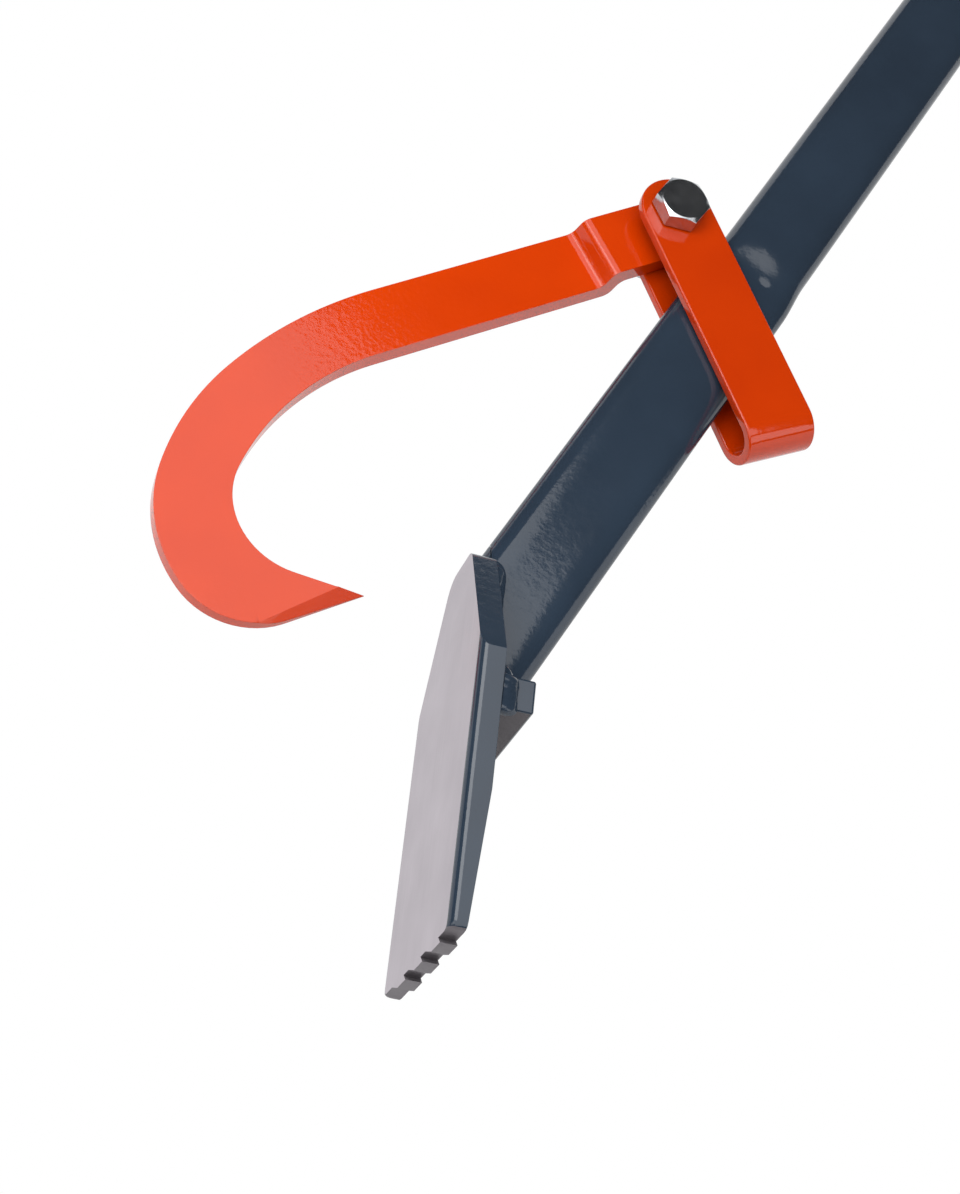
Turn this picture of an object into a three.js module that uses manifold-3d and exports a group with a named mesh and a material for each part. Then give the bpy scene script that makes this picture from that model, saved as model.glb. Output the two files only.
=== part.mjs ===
// Felling lever with a turning hook: a flattened tube lever with a toothed foot plate,
// and a sliding bracket whose bolt carries the joggled hook.
// Millimetres. +X runs up the lever towards the handle, +Y towards the hook,
// +Z along the pivot bolt towards its head. The origin is where the tube's centre line
// meets the working face of the foot plate.
import * as THREE from 'three';
import { mergeVertices } from 'three/addons/utils/BufferGeometryUtils.js';
import Module from 'manifold-3d';

const wasm = await Module();
wasm.setup();

// Fits and cutting margins
const SEAT_GAP = 0.3;
const SLIDE_GAP = 0.45;
const CUT_MARGIN = 20;
const ARC_STEPS = 12;
const ROUND_STEPS = 48;

// Lever tube, pressed from one round tube into two flat ovals
const LEVER_END_X = 716;
const TUBE_LOWER_WIDTH = 39.5;
const TUBE_LOWER_DEPTH = 13.2;
const TUBE_UPPER_WIDTH = 37;
const TUBE_UPPER_DEPTH = 17.6;
const TUBE_WALL = 2.5;
const SHOULDER_LEAD = 2;
const SHOULDER_LENGTH = 15;
const SHOULDER_STEPS = 10;
const SHOULDER_BOW = 3;

// Foot plate and its toothed tip
const FOOT_ANGLE_DEG = 26.1;
const FOOT_THICKNESS = 9;
const FOOT_HALF_WIDTH = 40;
const FOOT_TOP_HALF_WIDTH = 12.5;
const FOOT_TOP_ROUNDING = 3.5;
const FOOT_EDGE_RADIUS = 2.1;
const FOOT_TAPER_START = -4;
const FOOT_TAPER_LENGTH = 48.6;
const FOOT_BLADE_LENGTH = 100.2;
const TIP_THICKNESS = 5.7;
const TIP_BEVEL_LENGTH = 50;
const TOOTH_COUNT = 3;
const TOOTH_PITCH = 20.2;
const TOOTH_FIRST_OFFSET = 9;
const TOOTH_DEPTH = 2.4;
const TOOTH_LAND = 9.8;
const TOOTH_SLOPE = 7.7;
const TOOTH_UNDERCUT = 3;

// Heel bar welded across the back of the foot plate
const HEEL_SIZE = 12;
const HEEL_SIDE_INSET = 4;
const HEEL_START = 3.5;

// Weld beads
const TUBE_WELD_LEG = 5.5;
const HEEL_WELD_LEG = 5;
const END_WELD_LEG = 3;
const END_WELD_RISE = 6;
const END_WELD_PAST_BAR = 3;
const TOP_WELD_RISE = 3.2;
const WELD_RIPPLE = 0.45;
const WELD_RIPPLE_PITCH = 4;
const WELD_BULGE_SHARE = 0.62;
const WELD_ARC_STEPS = 5;
const WELD_RIPPLE_STEPS = 4;

// Grip sleeve and end plug
const GRIP_LENGTH = 126;
const GRIP_THICKNESS = 2.6;
const RIB_HEIGHT = 1.2;
const RIB_PITCH = 9;
const RIB_STEPS = 4;
const GRIP_LIP = 6;
const PLUG_DEPTH = 24;
const PLUG_WALL = 2;
const PLUG_FLANGE = 4;
const PLUG_EDGE_STEP = 1.2;

// Pivot bolt, lock nut, washer and spacer sleeve
const PIVOT_X = 231.4;
const BOLT_DIAMETER = 12;
const HEX_ACROSS_FLATS = 19;
const HEAD_HEIGHT = 7.5;
const HEX_CHAMFER = 1.1;
const BOLT_END_PAST_NUT = 1.8;
const BOLT_END_CHAMFER = 1.2;
const BOLT_TURN_DEG = 2;
const WASHER_RADIUS = 12;
const WASHER_THICKNESS = 2.5;
const NUT_HEX_HEIGHT = 8.2;
const NUT_CROWN_HEIGHT = 3.8;
const NUT_CROWN_RADIUS = 8.6;
const NUT_CROWN_WALL = 0.9;
const NYLON_HEIGHT = 2.6;
const SPACER_RADIUS = 9.5;

// Bracket strap bent from flat bar
const STRAP_TILT_DEG = 35.1;
const STRAP_WIDTH = 30;
const STRAP_THICKNESS = 4;
const STRAP_REACH = 94.5;
const STRAP_HOLE_GAP = 0.5;

// Hook, cut from plate, joggled, with a ground point
const ARM_TURN_DEG = 150.34;
const HOOK_THICKNESS = 8;
const ARM_WIDTH = 26;
const ARM_CENTRE_SHIFT = 1;
const EYE_TUBE_GAP = 6.6;
const JOGGLE_START = 30.6;
const JOGGLE_DROP = 8.2;
const JOGGLE_RADIUS_SHARE = 0.49;
const JOGGLE_ANGLE_DEG = 70;
const OUTER_START = 107.5;
const OUTER_SWEEP_RADIUS = 232.7;
const OUTER_SWEEP_DEG = 26.8;
const OUTER_BACK_RADIUS = 61.9;
const OUTER_BACK_DEG = 56.4;
const OUTER_CLAW_RADIUS = 34.5;
const OUTER_CLAW_DEG = 96.2;
const INNER_START = 137.6;
const INNER_SWEEP_RADIUS = 106;
const INNER_SWEEP_DEG = 40.9;
const INNER_CLAW_RADIUS = 29.3;
const INNER_CLAW_DEG = 98.8;
const CLAW_THICKNESS = 5.7;
const THINNING_START = 20;
const POINT_LENGTH = 26;
const POINT_BEVEL_WIDTH = 4.4;
const POINT_EDGE_THICKNESS = 0.6;
const POINT_BEVEL_SKEW_DEG = 3.8;

const HALF = 1 / 2;
const HALF_TURN = Math.PI;
const QUARTER_TURN = Math.PI * HALF;
const FULL_TURN = Math.PI + Math.PI;
const HEX_SIDES = 6;
const TRIANGLE = 3;
const LINE_ENDS = 2;
const UP = new THREE.Vector3(0, 0, 1);

const PAINT = material(0x36444f, 0.32, 0.25);
const STEEL = material(0xafa9ae, 0.38, 0.85);
const ORANGE = material(0xe2400c, 0.3, 0.1);
const ZINC = material(0xb9bcc0, 0.25, 0.95);
const RUBBER = material(0x1d1f21, 0.85, 0);
const PLASTIC = material(0x22262a, 0.5, 0);
const NYLON = material(0xd9dce0, 0.55, 0);

// Positions that follow from the sizes
const tubeHalfWidth = TUBE_LOWER_WIDTH * HALF;
const strapGapHalf = TUBE_LOWER_DEPTH * HALF + SLIDE_GAP;
const strapOuterHalf = strapGapHalf + STRAP_THICKNESS;
const eyeRadius = ARM_WIDTH * HALF;
const pivotY = tubeHalfWidth + EYE_TUBE_GAP + eyeRadius;
const boltRadius = BOLT_DIAMETER * HALF;
const eyeBack = SEAT_GAP - strapGapHalf;
const eyeFront = eyeBack + HOOK_THICKNESS;
const bladeFront = eyeFront - JOGGLE_DROP;
const bladeBack = bladeFront - HOOK_THICKNESS;
const heelBack = HEEL_START + HEEL_SIZE;
const heelReach = FOOT_HALF_WIDTH - HEEL_SIDE_INSET;
const footTop = FOOT_TAPER_START - FOOT_TAPER_LENGTH;
const footTip = FOOT_TAPER_START + FOOT_BLADE_LENGTH;

function material(color, roughness, metalness) {
  return new THREE.MeshStandardMaterial({ color, roughness, metalness });
}

function radians(degrees) {
  return THREE.MathUtils.degToRad(degrees);
}

// Local frame with two given directions; the third follows by the right-hand rule
function frameAt(origin, xDirection, yDirection) {
  const zDirection = new THREE.Vector3().crossVectors(xDirection, yDirection);
  return new THREE.Matrix4().makeBasis(xDirection, yDirection, zDirection).setPosition(origin);
}

function flatDirection(angle) {
  return new THREE.Vector3(Math.cos(angle), Math.sin(angle), 0);
}

// Foot frame: x down the plate to the tip, y along world Z, z out of the working face
function footFrame() {
  return frameAt(new THREE.Vector3(), footDirection(), UP);
}

function footDirection() {
  return flatDirection(HALF_TURN + radians(FOOT_ANGLE_DEG));
}

function footNormal() {
  return new THREE.Vector3().crossVectors(footDirection(), UP);
}

function pivotPoint() {
  return new THREE.Vector3(PIVOT_X, pivotY, 0);
}

function strapDirection() {
  return flatDirection(-QUARTER_TURN - radians(STRAP_TILT_DEG));
}

function hookDirection() {
  return flatDirection(radians(ARM_TURN_DEG));
}

function hookAcross() {
  return new THREE.Vector3().crossVectors(UP, hookDirection());
}

// Closed solid from a geometry whose triangles face outwards
function solidOf(geometry, placement) {
  geometry.applyMatrix4(placement ?? new THREE.Matrix4());
  geometry.deleteAttribute('normal');
  geometry.deleteAttribute('uv');
  const merged = mergeVertices(geometry);
  const faces = [];
  for (let at = 0; at < merged.index.count; at += TRIANGLE) {
    const face = [merged.index.getX(at), merged.index.getX(at + 1), merged.index.getX(at + 1 + 1)];
    if (new Set(face).size === TRIANGLE) faces.push(face);
  }
  const solid = solidFrom(merged, faces);
  return solid.volume() < 0 ? solidFrom(merged, faces.map((face) => face.reverse())) : solid;
}

function solidFrom(merged, faces) {
  const vertProperties = Float32Array.from(merged.attributes.position.array);
  const triVerts = Uint32Array.from(faces.flat());
  return new wasm.Manifold(new wasm.Mesh({ numProp: TRIANGLE, vertProperties, triVerts }));
}

function meshOf(name, solid, surface) {
  const { vertProperties, triVerts } = solid.getMesh();
  const geometry = new THREE.BufferGeometry();
  geometry.setAttribute('position', new THREE.Float32BufferAttribute(vertProperties, TRIANGLE));
  geometry.setIndex([...triVerts]);
  geometry.computeVertexNormals();
  const mesh = new THREE.Mesh(geometry, surface);
  mesh.name = name;
  return mesh;
}

// Prism from a flat outline, between two heights of its frame
function prism(outline, low, high, placement) {
  const shape = Array.isArray(outline) ? new THREE.Shape(outline) : outline;
  const depth = high - low;
  const geometry = new THREE.ExtrudeGeometry(shape, { depth, bevelEnabled: false, curveSegments: ARC_STEPS });
  geometry.translate(0, 0, low);
  return solidOf(geometry, placement);
}

function corners(pairs) {
  return pairs.map(([x, y]) => new THREE.Vector2(x, y));
}

function blockOutline(lowX, highX, lowY, highY) {
  return corners([[lowX, lowY], [highX, lowY], [highX, highY], [lowX, highY]]);
}

function hexOutline() {
  const cornerRadius = HEX_ACROSS_FLATS * HALF / Math.cos(HALF_TURN / HEX_SIDES);
  const turns = Array.from({ length: HEX_SIDES }, (_, side) => side * FULL_TURN / HEX_SIDES);
  return turns.map((turn) => new THREE.Vector2(Math.cos(turn), Math.sin(turn)).multiplyScalar(cornerRadius));
}

// Frame of the pivot axis with its X axis along the strap, so that a hex corner follows it
function pivotFrame() {
  const along = strapDirection().applyAxisAngle(UP, radians(BOLT_TURN_DEG));
  return frameAt(pivotPoint(), along, new THREE.Vector3().crossVectors(UP, along));
}

// Turned solid about the pivot axis from radius and height pairs that close on the axis
function turned(pairs) {
  const geometry = new THREE.LatheGeometry(corners(pairs), ROUND_STEPS);
  geometry.rotateX(QUARTER_TURN);
  return solidOf(geometry, pivotFrame());
}

function cylinder(radius, low, high) {
  return turned([[0, low], [radius, low], [radius, high], [0, high]]);
}

function ring(innerRadius, outerRadius, low, high) {
  const bore = cylinder(innerRadius, low - CUT_MARGIN, high + CUT_MARGIN);
  return cylinder(outerRadius, low, high).subtract(bore);
}

// Solid skinned over convex rings of points, all with the same count
function loft(rings, placement) {
  const count = rings[0].length;
  const points = rings.flat();
  const faces = [];
  rings.slice(1).forEach((_, row) => rings[0].forEach((__, side) => {
    const next = (side + 1) % count;
    const low = row * count;
    const high = low + count;
    faces.push(low + side, low + next, high + next, low + side, high + next, high + side);
  }));
  const last = points.length - count;
  rings[0].slice(1, -1).forEach((_, side) => {
    faces.push(0, side + 1 + 1, side + 1);
    faces.push(last, last + side + 1, last + side + 1 + 1);
  });
  const geometry = new THREE.BufferGeometry().setFromPoints(points);
  geometry.setIndex(faces);
  return solidOf(geometry, placement);
}

// Flat-oval section across the lever: half circles of the depth joined by flats
function ovalRing(x, width, depth) {
  const radius = depth * HALF;
  const flat = width * HALF - radius;
  const sides = [[flat, -QUARTER_TURN], [-flat, QUARTER_TURN]];
  return sides.flatMap(([centre, start]) => Array.from({ length: ARC_STEPS + 1 }, (_, step) => {
    const angle = start + HALF_TURN * step / ARC_STEPS;
    return new THREE.Vector3(x, centre + radius * Math.cos(angle), radius * Math.sin(angle));
  }));
}

function blend(from, to, share) {
  return THREE.MathUtils.lerp(from, to, THREE.MathUtils.smoothstep(share, 0, 1));
}

// Where the strap's upper edge crosses the end of the tube's flat
function strapEdgeX() {
  const tilt = radians(STRAP_TILT_DEG);
  const flatEnd = (TUBE_LOWER_WIDTH - TUBE_LOWER_DEPTH) * HALF;
  return PIVOT_X + STRAP_WIDTH * HALF / Math.cos(tilt) - (pivotY - flatEnd) * Math.tan(tilt);
}

// Tube section sizes along the lever: low oval, pressed shoulder, high oval
function tubeSkin(inset, low, high) {
  const start = strapEdgeX() - SHOULDER_LEAD;
  const steps = Array.from({ length: SHOULDER_STEPS + 1 }, (_, step) => step / SHOULDER_STEPS);
  const shoulder = steps.map((share) => [start + SHOULDER_LENGTH * share, share, SHOULDER_BOW]);
  const stations = [[low, 0, 0], ...shoulder, [high, 1, 0]];
  return loft(stations.map(([x, share, bow]) => {
    const width = blend(TUBE_LOWER_WIDTH, TUBE_UPPER_WIDTH, share) - inset - inset;
    const depth = blend(TUBE_LOWER_DEPTH, TUBE_UPPER_DEPTH, share) - inset - inset;
    return bowed(ovalRing(x, width, depth), width * HALF, bow);
  }));
}

// Section pushed up the lever in its middle, as the pressing tool's round edge leaves it
function bowed(ring, halfWidth, bow) {
  return ring.map((point) => {
    const share = point.y / halfWidth;
    return new THREE.Vector3(point.x + bow * (1 - share * share), point.y, point.z);
  });
}

function leverTube() {
  const low = -LEVER_END_X;
  const back = -FOOT_THICKNESS - SEAT_GAP;
  const reach = LEVER_END_X + LEVER_END_X;
  const tube = tubeSkin(0, low, LEVER_END_X)
    .subtract(tubeSkin(TUBE_WALL, low - CUT_MARGIN, LEVER_END_X + CUT_MARGIN));
  const beforePlate = prism(blockOutline(-reach, reach, -reach, reach), back, reach, footFrame());
  const heelSide = blockOutline(HEEL_START - SEAT_GAP, reach, -reach, reach);
  const beforeHeel = prism(heelSide, -reach, reach, footFrame());
  return meshOf('lever_tube', tube.subtract(beforePlate).subtract(beforeHeel), PAINT);
}

// Gap before a tooth of the tip, with the tooth's near side undercut like a ratchet tooth.
// It runs from the tooth before, or from past the plate's side where there is none.
function toothGap(index) {
  const bottom = footTip - TOOTH_DEPTH;
  const past = footTip + CUT_MARGIN;
  const side = FOOT_HALF_WIDTH + CUT_MARGIN;
  const land = (place) => FOOT_HALF_WIDTH - TOOTH_FIRST_OFFSET - TOOTH_PITCH * place;
  const before = land(index - 1) - TOOTH_LAND;
  const start = index > 0 ? [[past, before], [footTip, before], [bottom, before - TOOTH_SLOPE]]
    : [[past, side], [bottom, side]];
  const end = index < TOOTH_COUNT
    ? [[bottom, land(index) - TOOTH_UNDERCUT], [footTip, land(index)], [past, land(index)]]
    : [[bottom, -side], [past, -side]];
  return prism(corners([...start, ...end]), -FOOT_THICKNESS - CUT_MARGIN, CUT_MARGIN, footFrame());
}

// Plate outline, tapered and rounded at the top
function footOutline() {
  const corner = new THREE.Vector2(FOOT_TAPER_LENGTH, FOOT_HALF_WIDTH - FOOT_TOP_HALF_WIDTH)
    .setLength(FOOT_TOP_ROUNDING);
  const flat = FOOT_TOP_HALF_WIDTH - FOOT_TOP_ROUNDING;
  const shape = new THREE.Shape();
  shape.moveTo(footTop, flat);
  shape.lineTo(footTop, -flat);
  shape.quadraticCurveTo(footTop, -FOOT_TOP_HALF_WIDTH, footTop + corner.x, -FOOT_TOP_HALF_WIDTH - corner.y);
  shape.lineTo(FOOT_TAPER_START, -FOOT_HALF_WIDTH);
  shape.lineTo(footTip, -FOOT_HALF_WIDTH);
  shape.lineTo(footTip, FOOT_HALF_WIDTH);
  shape.lineTo(FOOT_TAPER_START, FOOT_HALF_WIDTH);
  shape.lineTo(footTop + corner.x, FOOT_TOP_HALF_WIDTH + corner.y);
  shape.quadraticCurveTo(footTop, FOOT_TOP_HALF_WIDTH, footTop, flat);
  return shape;
}

// Rolled flat bar that the plate is cut from, with rounded front edges
function footBar() {
  const radius = FOOT_EDGE_RADIUS;
  const edge = FOOT_HALF_WIDTH - radius;
  const section = new THREE.Shape();
  section.moveTo(-FOOT_HALF_WIDTH, -FOOT_THICKNESS);
  section.lineTo(FOOT_HALF_WIDTH, -FOOT_THICKNESS);
  section.lineTo(FOOT_HALF_WIDTH, -radius);
  section.absarc(edge, -radius, radius, 0, QUARTER_TURN);
  section.lineTo(-edge, 0);
  section.absarc(-edge, -radius, radius, QUARTER_TURN, HALF_TURN);
  const along = frameAt(new THREE.Vector3(), UP, footNormal());
  return prism(section, footTop - CUT_MARGIN, footTip + CUT_MARGIN, along);
}

function footPlate() {
  const outline = prism(footOutline(), -FOOT_THICKNESS - CUT_MARGIN, CUT_MARGIN, footFrame());
  let plate = outline.intersect(footBar());
  Array.from({ length: TOOTH_COUNT + 1 }, (_, index) => index).forEach((index) => {
    plate = plate.subtract(toothGap(index));
  });
  return meshOf('foot_plate', plate.subtract(tipBevel()), STEEL);
}

// Wedge that thins the back of the plate towards its tip
function tipBevel() {
  const start = footTip - TIP_BEVEL_LENGTH;
  const slope = (FOOT_THICKNESS - TIP_THICKNESS) / TIP_BEVEL_LENGTH;
  const run = TIP_BEVEL_LENGTH + CUT_MARGIN;
  const profile = corners([
    [start - CUT_MARGIN, -FOOT_THICKNESS - slope * CUT_MARGIN],
    [start - CUT_MARGIN, -FOOT_THICKNESS - run],
    [start + run, -FOOT_THICKNESS - run],
    [start + run, slope * run - FOOT_THICKNESS],
  ]);
  const across = frameAt(new THREE.Vector3(), footDirection(), footNormal());
  return prism(profile, -FOOT_HALF_WIDTH - CUT_MARGIN, FOOT_HALF_WIDTH + CUT_MARGIN, across);
}

function heelBar() {
  const outline = blockOutline(HEEL_START, heelBack, -heelReach, heelReach);
  const top = -FOOT_THICKNESS - SEAT_GAP;
  return meshOf('heel_bar', prism(outline, top - HEEL_SIZE, top, footFrame()), PAINT);
}

// Convex fillet bead in a corner: two legs along the frame's Y and Z, run along its X,
// with a slight ripple in its size
function bead(name, placement, runLength, legY, legZ) {
  const count = Math.max(1, Math.round(runLength / WELD_RIPPLE_PITCH)) * WELD_RIPPLE_STEPS;
  const rings = Array.from({ length: count + 1 }, (_, index) => {
    const share = index / count;
    const ripple = WELD_RIPPLE * Math.cos(FULL_TURN * index / WELD_RIPPLE_STEPS);
    return beadRing(share * runLength, legY + ripple, legZ + ripple);
  });
  return meshOf(name, loft(rings, placement), PAINT);
}

function beadRing(x, legY, legZ) {
  const steps = Array.from({ length: WELD_ARC_STEPS + 1 }, (_, step) => QUARTER_TURN * step / WELD_ARC_STEPS);
  const arc = steps.map((angle) => {
    const straight = Math.cos(angle) + Math.sin(angle);
    const reach = THREE.MathUtils.lerp(1 / straight, 1, WELD_BULGE_SHARE);
    return new THREE.Vector3(x, legY * reach * Math.cos(angle), legZ * reach * Math.sin(angle));
  });
  return [new THREE.Vector3(x, 0, 0), ...arc];
}

// Corner frame on the back of the foot plate, at a place down the plate and across it
function cornerFrame(down, across, xDirection, yDirection) {
  const depth = -FOOT_THICKNESS - SEAT_GAP;
  const origin = footDirection().multiplyScalar(down)
    .add(footNormal().multiplyScalar(depth)).add(UP.clone().multiplyScalar(across));
  return frameAt(origin, xDirection, yDirection);
}

// Beads down both flat sides of the tube, on the back of the plate
function tubeWelds() {
  const side = TUBE_LOWER_DEPTH * HALF + SEAT_GAP;
  const end = HEEL_START - SEAT_GAP - HEEL_WELD_LEG - WELD_RIPPLE - SEAT_GAP;
  const run = end - footTop;
  const down = footDirection();
  const near = cornerFrame(end, side, down.clone().negate(), UP);
  const far = cornerFrame(footTop, -side, down, UP.clone().negate());
  return [
    bead('tube_weld_near', near, run, TUBE_WELD_LEG, TUBE_WELD_LEG),
    bead('tube_weld_far', far, run, TUBE_WELD_LEG, TUBE_WELD_LEG),
  ];
}

// Beads above the heel bar on both sides of the tube, and on the bar's two ends,
// which run on a little past the bar
function heelWelds() {
  const inner = TUBE_LOWER_DEPTH * HALF + SEAT_GAP;
  const top = HEEL_START - SEAT_GAP;
  const up = footDirection().negate();
  const down = footDirection();
  const far = UP.clone().negate();
  const endRun = HEEL_SIZE + END_WELD_PAST_BAR;
  const endLow = heelBack + END_WELD_PAST_BAR;
  const endPlace = heelReach + SEAT_GAP;
  const leg = HEEL_WELD_LEG;
  return [
    bead('heel_weld_near', cornerFrame(top, heelReach, far, up), heelReach - inner, leg, leg),
    bead('heel_weld_far', cornerFrame(top, -inner, far, up), heelReach - inner, leg, leg),
    bead('heel_end_weld_near', cornerFrame(endLow, endPlace, up, UP), endRun, END_WELD_LEG, END_WELD_RISE),
    bead(
      'heel_end_weld_far', cornerFrame(HEEL_START, -endPlace, down, far), endRun, END_WELD_LEG, END_WELD_RISE,
    ),
  ];
}

// Bead over the plate's top edge that closes the tube's cut corner
function topWeld() {
  const low = -FOOT_THICKNESS;
  const above = blockOutline(-LEVER_END_X, footTop - SEAT_GAP, -FOOT_HALF_WIDTH, FOOT_HALF_WIDTH);
  const slab = prism(above, low, low + TOP_WELD_RISE, footFrame());
  return meshOf('top_weld', tubeSkin(0, -LEVER_END_X, LEVER_END_X).intersect(slab), PAINT);
}

// Ribbed sleeve over the handle end of the tube
function gripSleeve() {
  const start = LEVER_END_X - GRIP_LENGTH;
  const ribRun = GRIP_LENGTH - GRIP_LIP - GRIP_LIP;
  const count = Math.max(1, Math.round(ribRun / RIB_PITCH)) * RIB_STEPS;
  const ribs = Array.from({ length: count + 1 }, (_, index) => {
    const rise = RIB_HEIGHT * HALF * (1 + Math.cos(FULL_TURN * index / RIB_STEPS));
    return gripRing(start + GRIP_LIP + ribRun * index / count, GRIP_THICKNESS + rise);
  });
  const lip = GRIP_THICKNESS + RIB_HEIGHT;
  const outer = loft([gripRing(start, lip), ...ribs, gripRing(LEVER_END_X, lip)]);
  const inner = loft([gripRing(start - CUT_MARGIN, 0), gripRing(LEVER_END_X + CUT_MARGIN, 0)]);
  return meshOf('grip_sleeve', outer.subtract(inner), RUBBER);
}

function gripRing(x, rise) {
  const grow = SEAT_GAP + rise;
  return ovalRing(x, TUBE_UPPER_WIDTH + grow + grow, TUBE_UPPER_DEPTH + grow + grow);
}

// Plug with a hollow skirt inside the tube and a stepped flange over the open end
function endPlug() {
  const face = LEVER_END_X + SEAT_GAP;
  const crown = face + PLUG_FLANGE;
  const lip = GRIP_THICKNESS + RIB_HEIGHT;
  const flange = loft([
    gripRing(face, lip), gripRing(crown - PLUG_EDGE_STEP, lip), gripRing(crown, lip - PLUG_EDGE_STEP),
  ]);
  const skirt = loft([plugRing(LEVER_END_X - PLUG_DEPTH, 0), plugRing(crown - PLUG_EDGE_STEP, 0)]);
  const hollow = loft([plugRing(-LEVER_END_X, PLUG_WALL), plugRing(face, PLUG_WALL)]);
  return meshOf('end_plug', flange.add(skirt).subtract(hollow), PLASTIC);
}

function plugRing(x, inset) {
  const shrink = TUBE_WALL + SEAT_GAP + inset;
  return ovalRing(x, TUBE_UPPER_WIDTH - shrink - shrink, TUBE_UPPER_DEPTH - shrink - shrink);
}

// Flat bar bent into a U about the tube, with round ends about the bolt
function bracketStrap() {
  const side = frameAt(pivotPoint(), strapDirection(), UP);
  const profile = new THREE.Shape();
  const tail = -STRAP_WIDTH;
  profile.moveTo(tail, strapOuterHalf);
  profile.lineTo(STRAP_REACH, strapOuterHalf);
  profile.absarc(STRAP_REACH, 0, strapOuterHalf, QUARTER_TURN, -QUARTER_TURN, true);
  profile.lineTo(tail, -strapOuterHalf);
  profile.lineTo(tail, -strapGapHalf);
  profile.lineTo(STRAP_REACH, -strapGapHalf);
  profile.absarc(STRAP_REACH, 0, strapGapHalf, -QUARTER_TURN, QUARTER_TURN);
  profile.lineTo(tail, strapGapHalf);
  const halfWidth = STRAP_WIDTH * HALF;
  const bent = prism(profile, -STRAP_WIDTH, STRAP_WIDTH, side);
  const outline = new THREE.Shape();
  outline.absarc(0, 0, halfWidth, QUARTER_TURN, QUARTER_TURN + HALF_TURN);
  outline.lineTo(STRAP_REACH + STRAP_WIDTH, -halfWidth);
  outline.lineTo(STRAP_REACH + STRAP_WIDTH, halfWidth);
  const across = new THREE.Vector3().crossVectors(UP, strapDirection());
  const flatFrame = frameAt(pivotPoint(), strapDirection(), across);
  const plan = prism(outline, -strapOuterHalf - CUT_MARGIN, strapOuterHalf + CUT_MARGIN, flatFrame);
  const holeReach = strapOuterHalf + CUT_MARGIN;
  const hole = cylinder(boltRadius + STRAP_HOLE_GAP, -holeReach, holeReach);
  return meshOf('bracket_strap', bent.intersect(plan).subtract(hole), ORANGE);
}

// Hexagon with its corners turned off by a cone at one or both ends
function hexBody(low, high, chamferLow, chamferHigh) {
  const cornerRadius = HEX_ACROSS_FLATS * HALF / Math.cos(HALF_TURN / HEX_SIDES);
  const full = cornerRadius + HEX_CHAMFER;
  const flat = HEX_ACROSS_FLATS * HALF;
  const cone = turned([
    [0, low], [chamferLow ? flat : full, low], [full, low + (chamferLow ? HEX_CHAMFER : 0)],
    [full, high - (chamferHigh ? HEX_CHAMFER : 0)], [chamferHigh ? flat : full, high], [0, high],
  ]);
  return prism(hexOutline(), low, high, pivotFrame()).intersect(cone);
}

function headSeat() {
  return strapOuterHalf + SEAT_GAP;
}

function nutTop() {
  return -strapOuterHalf - SEAT_GAP - WASHER_THICKNESS - SEAT_GAP;
}

function nutEnd() {
  return nutTop() - NUT_HEX_HEIGHT - NUT_CROWN_HEIGHT;
}

function pivotBolt() {
  const seat = headSeat();
  const end = nutEnd() - BOLT_END_PAST_NUT;
  const head = hexBody(seat, seat + HEAD_HEIGHT, false, true);
  const shank = turned([
    [0, end], [boltRadius - BOLT_END_CHAMFER, end], [boltRadius, end + BOLT_END_CHAMFER],
    [boltRadius, seat + HEX_CHAMFER], [0, seat + HEX_CHAMFER],
  ]);
  return meshOf('pivot_bolt', head.add(shank), ZINC);
}

function nutWasher() {
  const top = -strapOuterHalf - SEAT_GAP;
  return meshOf('nut_washer', ring(boltRadius + SEAT_GAP, WASHER_RADIUS, top - WASHER_THICKNESS, top), ZINC);
}

// Lock nut: hexagon with a turned crown that holds the nylon ring
function lockNut() {
  const top = nutTop();
  const hexEnd = top - NUT_HEX_HEIGHT;
  const end = nutEnd();
  const hex = hexBody(hexEnd, top, true, true);
  const crown = cylinder(NUT_CROWN_RADIUS, end, hexEnd + HEX_CHAMFER);
  const bore = cylinder(boltRadius + SEAT_GAP, end - CUT_MARGIN, top + CUT_MARGIN);
  const pocketRadius = NUT_CROWN_RADIUS - NUT_CROWN_WALL;
  const pocket = cylinder(pocketRadius, end - CUT_MARGIN, end + NYLON_HEIGHT + SEAT_GAP);
  return meshOf('lock_nut', hex.add(crown).subtract(bore).subtract(pocket), ZINC);
}

function nylonRing() {
  const outer = NUT_CROWN_RADIUS - NUT_CROWN_WALL - SEAT_GAP;
  const end = nutEnd();
  return meshOf('nylon_ring', ring(boltRadius + SEAT_GAP, outer, end, end + NYLON_HEIGHT), NYLON);
}

// Sleeve that keeps the hook's eye against the far leg of the strap
function spacerSleeve() {
  const low = eyeFront + SEAT_GAP;
  const high = strapGapHalf - SEAT_GAP;
  return meshOf('spacer_sleeve', ring(boltRadius + SEAT_GAP, SPACER_RADIUS, low, high), ZINC);
}

// Points along a run of bends that starts in the X direction; each bend is a radius and a turn
function bendRun(start, bends, endLength) {
  const points = [start];
  let heading = 0;
  bends.forEach(([radius, turnDegrees]) => {
    const turn = radians(turnDegrees);
    const centre = bendCentre(points.at(-1), heading, radius);
    for (let step = 1; step <= ARC_STEPS; step += 1) {
      const angle = heading + turn * step / ARC_STEPS;
      points.push(new THREE.Vector2(Math.sin(angle), -Math.cos(angle)).multiplyScalar(radius).add(centre));
    }
    heading += turn;
  });
  const run = new THREE.Vector2(Math.cos(heading), Math.sin(heading)).multiplyScalar(endLength);
  points.push(points.at(-1).clone().add(run));
  return points;
}

function bendCentre(point, heading, radius) {
  return new THREE.Vector2(-Math.sin(heading), Math.cos(heading)).multiplyScalar(radius).add(point);
}

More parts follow.
